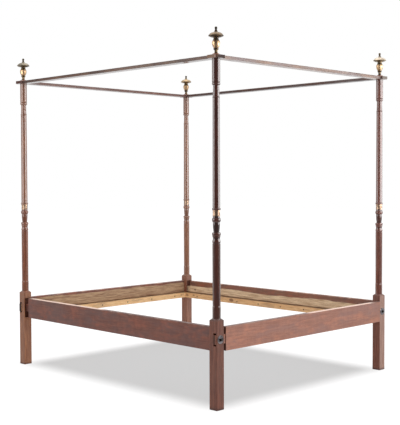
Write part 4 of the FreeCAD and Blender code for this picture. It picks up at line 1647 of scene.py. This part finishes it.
@dataclass
class Studio:
    """Camera, floor, surround and lamps."""

    camera_place: Place = (-4.9058, -4.9881, 1.4049)
    yaw: float = 0.7786
    pitch: float = -0.0349
    roll: float = -0.0028
    focal_pixels: float = 932.4
    picture_height: int = 425
    sensor: float = 36.0
    floor_size: float = 60.0
    floor_paint: Colour = (0.8, 0.8, 0.8)
    floor_share: Colour = (0.24, 0.24, 0.24)
    floor_glow: Colour = (0.90, 0.90, 0.90)
    # The floor's painted shadow under the bed: its level, its reach from the centre and its soft
    # edge.
    painted_shadow_glow: Colour = (0.40, 0.40, 0.40)
    painted_shadow_reach: Span = (0.86, 1.03)
    painted_shadow_blur: float = 0.16
    floor_front: Span = (1.5, 2.6)
    black: Colour = (0.0, 0.0, 0.0)
    white: Colour = (1.0, 1.0, 1.0)
    room: Colour = (0.08, 0.08, 0.09)
    room_spread: Span = (-0.15, 0.75)
    window_way: Place = (0.35, -0.94, 0.0)
    window_spread: Span = (-0.4, 0.9)
    window_light: Colour = (1.0, 1.0, 1.02)
    wall_light: Colour = (0.60, 0.60, 0.61)
    lamps: tuple[SoftBox, ...] = (
        SoftBox("panel_left", (-2.9, 0.82, 2.0), (0.0, 0.4, 2.0), 2.6, 2.1, 4.2, True),
        SoftBox("panel_right", (1.6, -2.9, 2.0), (1.1, 0.0, 2.0), 4.0, 2.1, 7.0, True),
        SoftBox("soft_box_above", (0.4, 0.2, 5.2), (0.0, 0.0, 0.0), 5.0, 5.0, 1.4))

    def build(self) -> None:
        """Make everything that the bed stands in."""
        self._camera()
        self._floor()
        self._world()
        for lamp in self.lamps:
            lamp.build()
        bpy.context.scene.view_settings.view_transform = "Standard"
        LOG.info("set the studio")

    def _camera(self) -> None:
        """The camera, where the photograph was taken from."""
        forward = Vector((math.sin(self.yaw) * math.cos(self.pitch),
                          math.cos(self.yaw) * math.cos(self.pitch), math.sin(self.pitch)))
        level = Vector((math.cos(self.yaw), -math.sin(self.yaw), 0))
        upright = level.cross(forward)
        right = level * math.cos(self.roll) + upright * math.sin(self.roll)
        up = upright * math.cos(self.roll) - level * math.sin(self.roll)
        turn = Matrix((right, up, -forward)).transposed().to_4x4()
        data = bpy.data.cameras.new("camera")
        data.sensor_width = self.sensor
        data.lens = self.focal_pixels / self.picture_height * self.sensor
        camera = bpy.data.objects.new("camera", data)
        camera.matrix_world = Matrix.Translation(Vector(self.camera_place)) @ turn
        bpy.context.scene.collection.objects.link(camera)
        bpy.context.scene.camera = camera

    def _floor(self) -> None:
        """A pale floor with a soft shadow painted under the bed."""
        half = self.floor_size / 2
        mesh = bmesh.new()
        corners = ((-half, -half), (half, -half), (half, half), (-half, half))
        mesh.faces.new([mesh.verts.new((x, y, 0)) for x, y in corners])
        data = bpy.data.meshes.new("floor")
        mesh.to_mesh(data)
        mesh.free()
        floor = bpy.data.objects.new("floor", data)
        bpy.context.scene.collection.objects.link(floor)
        data.materials.append(self._floor_material())

    def _floor_material(self) -> bpy.types.Material:
        """Make the floor matt and pale for the light, and near white where it is seen.

        Returns:
            The material.
        """
        material = bpy.data.materials.new("pale_floor")
        material.use_nodes = True
        material.node_tree.nodes.clear()
        tree = Tree(material.node_tree)
        rays = tree.node("LightPath").outputs
        mirrored = tree.math("MAXIMUM", rays["Is Glossy Ray"], rays["Is Transmission Ray"])
        glow = tree.node("Emission")
        tree.feed(glow.inputs["Color"], self._floor_glow(tree, mirrored))
        lit = tree.node("BsdfDiffuse")
        tree.feed(lit.inputs["Color"], self.floor_paint)
        faint = tree.node("BsdfDiffuse")
        tree.feed(faint.inputs["Color"], self.floor_share)
        seen = tree.node("AddShader")
        tree.feed(seen.inputs[0], faint.outputs[0])
        tree.feed(seen.inputs[1], glow.outputs[0])
        show = tree.node("MixShader")
        tree.feed(show.inputs["Fac"], tree.math("MAXIMUM", rays["Is Camera Ray"], mirrored))
        tree.feed(show.inputs[1], lit.outputs[0])
        tree.feed(show.inputs[2], seen.outputs[0])
        tree.feed(tree.node("OutputMaterial").inputs["Surface"], show.outputs[0])
        return material

    def _floor_glow(self, tree: Tree, mirrored: Socket) -> Socket:
        """How white the floor looks: darker under the bed, where a soft shadow is painted, and black
        in mirrors near the camera.

        Args:
            tree: The floor's tree.
            mirrored: 1 where the floor is seen in a mirror.

        Returns:
            The glow's socket.
        """
        x, y, _ = tree.axes(tree.place())
        inside: object = 1.0
        # inside is 1 under the bed, where the painted shadow lies.
        for value, reach in zip((x, y), self.painted_shadow_reach):
            edge = tree.step(tree.math("ABSOLUTE", value), reach - self.painted_shadow_blur,
                             reach + self.painted_shadow_blur)
            inside = tree.times(inside, tree.invert(edge))
        ahead = tree.math("ADD", tree.times(x, -math.sin(self.yaw)),
                          tree.times(y, -math.cos(self.yaw)))
        beyond = tree.times(tree.step(ahead, *self.floor_front), mirrored)
        return tree.mix(beyond, tree.mix(inside, self.floor_glow, self.painted_shadow_glow), self.black)

    def _world(self) -> None:
        """A white surround, which mirrors show darker behind the camera."""
        world = bpy.data.worlds.new("surround")
        world.use_nodes = True
        world.node_tree.nodes.clear()
        bpy.context.scene.world = world
        tree = Tree(world.node_tree)
        rays = tree.node("LightPath").outputs
        way = tree.node("TexCoord").outputs["Generated"]
        behind = (-math.sin(self.yaw), -math.cos(self.yaw), 0.0)
        room = tree.step(tree.vector("DOT_PRODUCT", way, behind, "Value"), *self.room_spread)
        window = tree.step(tree.vector("DOT_PRODUCT", way, self.window_way, "Value"),
                           *self.window_spread)
        lit = tree.mix(window, self.wall_light, self.window_light)
        glossy = tree.math("MAXIMUM", rays["Is Glossy Ray"], rays["Is Transmission Ray"])
        shown = tree.mix(glossy, lit, tree.mix(room, self.white, self.room))
        background = tree.node("Background")
        tree.feed(background.inputs["Color"], tree.mix(rays["Is Camera Ray"], shown, self.white))
        tree.feed(tree.node("OutputWorld").inputs["Surface"], background.outputs[0])


def main() -> None:
    """Dress the bed and set the studio."""
    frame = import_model()
    workshop = Workshop(frame)
    posts = (Post(Corner.FRONT_LEFT, 1.0, DARK_POLISH, DARK_POLISH, cap=MetalFinish.DARK_CAP),
             Post(Corner.FRONT_RIGHT, 4.0, RED_POLISH, RED_POLISH, cap=MetalFinish.PALE_CAP,
                  painted_front_sheen=1.0, quirk_amount=0.5),
             Post(Corner.BACK_LEFT, 7.0, WARM_POLISH, TAN_POLISH, square=WARM_LEG_POLISH,
                  cap=MetalFinish.GREY_CAP, quirk_amount=0.2, haze=0.15),
             Post(Corner.BACK_RIGHT, 11.0, TAN_POLISH, TAN_POLISH, square=TAN_LEG_POLISH,
                  painted_front_sheen=0.3, quirk_amount=0.2, haze=0.12))
    for post in posts:
        post.dress(workshop)
    Rails().dress(workshop)
    Tester().dress(workshop)
    for side in Side:
        CleatScrews(side).build(workshop)
    Studio().build()


if __name__ == "__main__":
    logging.basicConfig(level=logging.INFO, format="%(name)s: %(message)s")
    main()
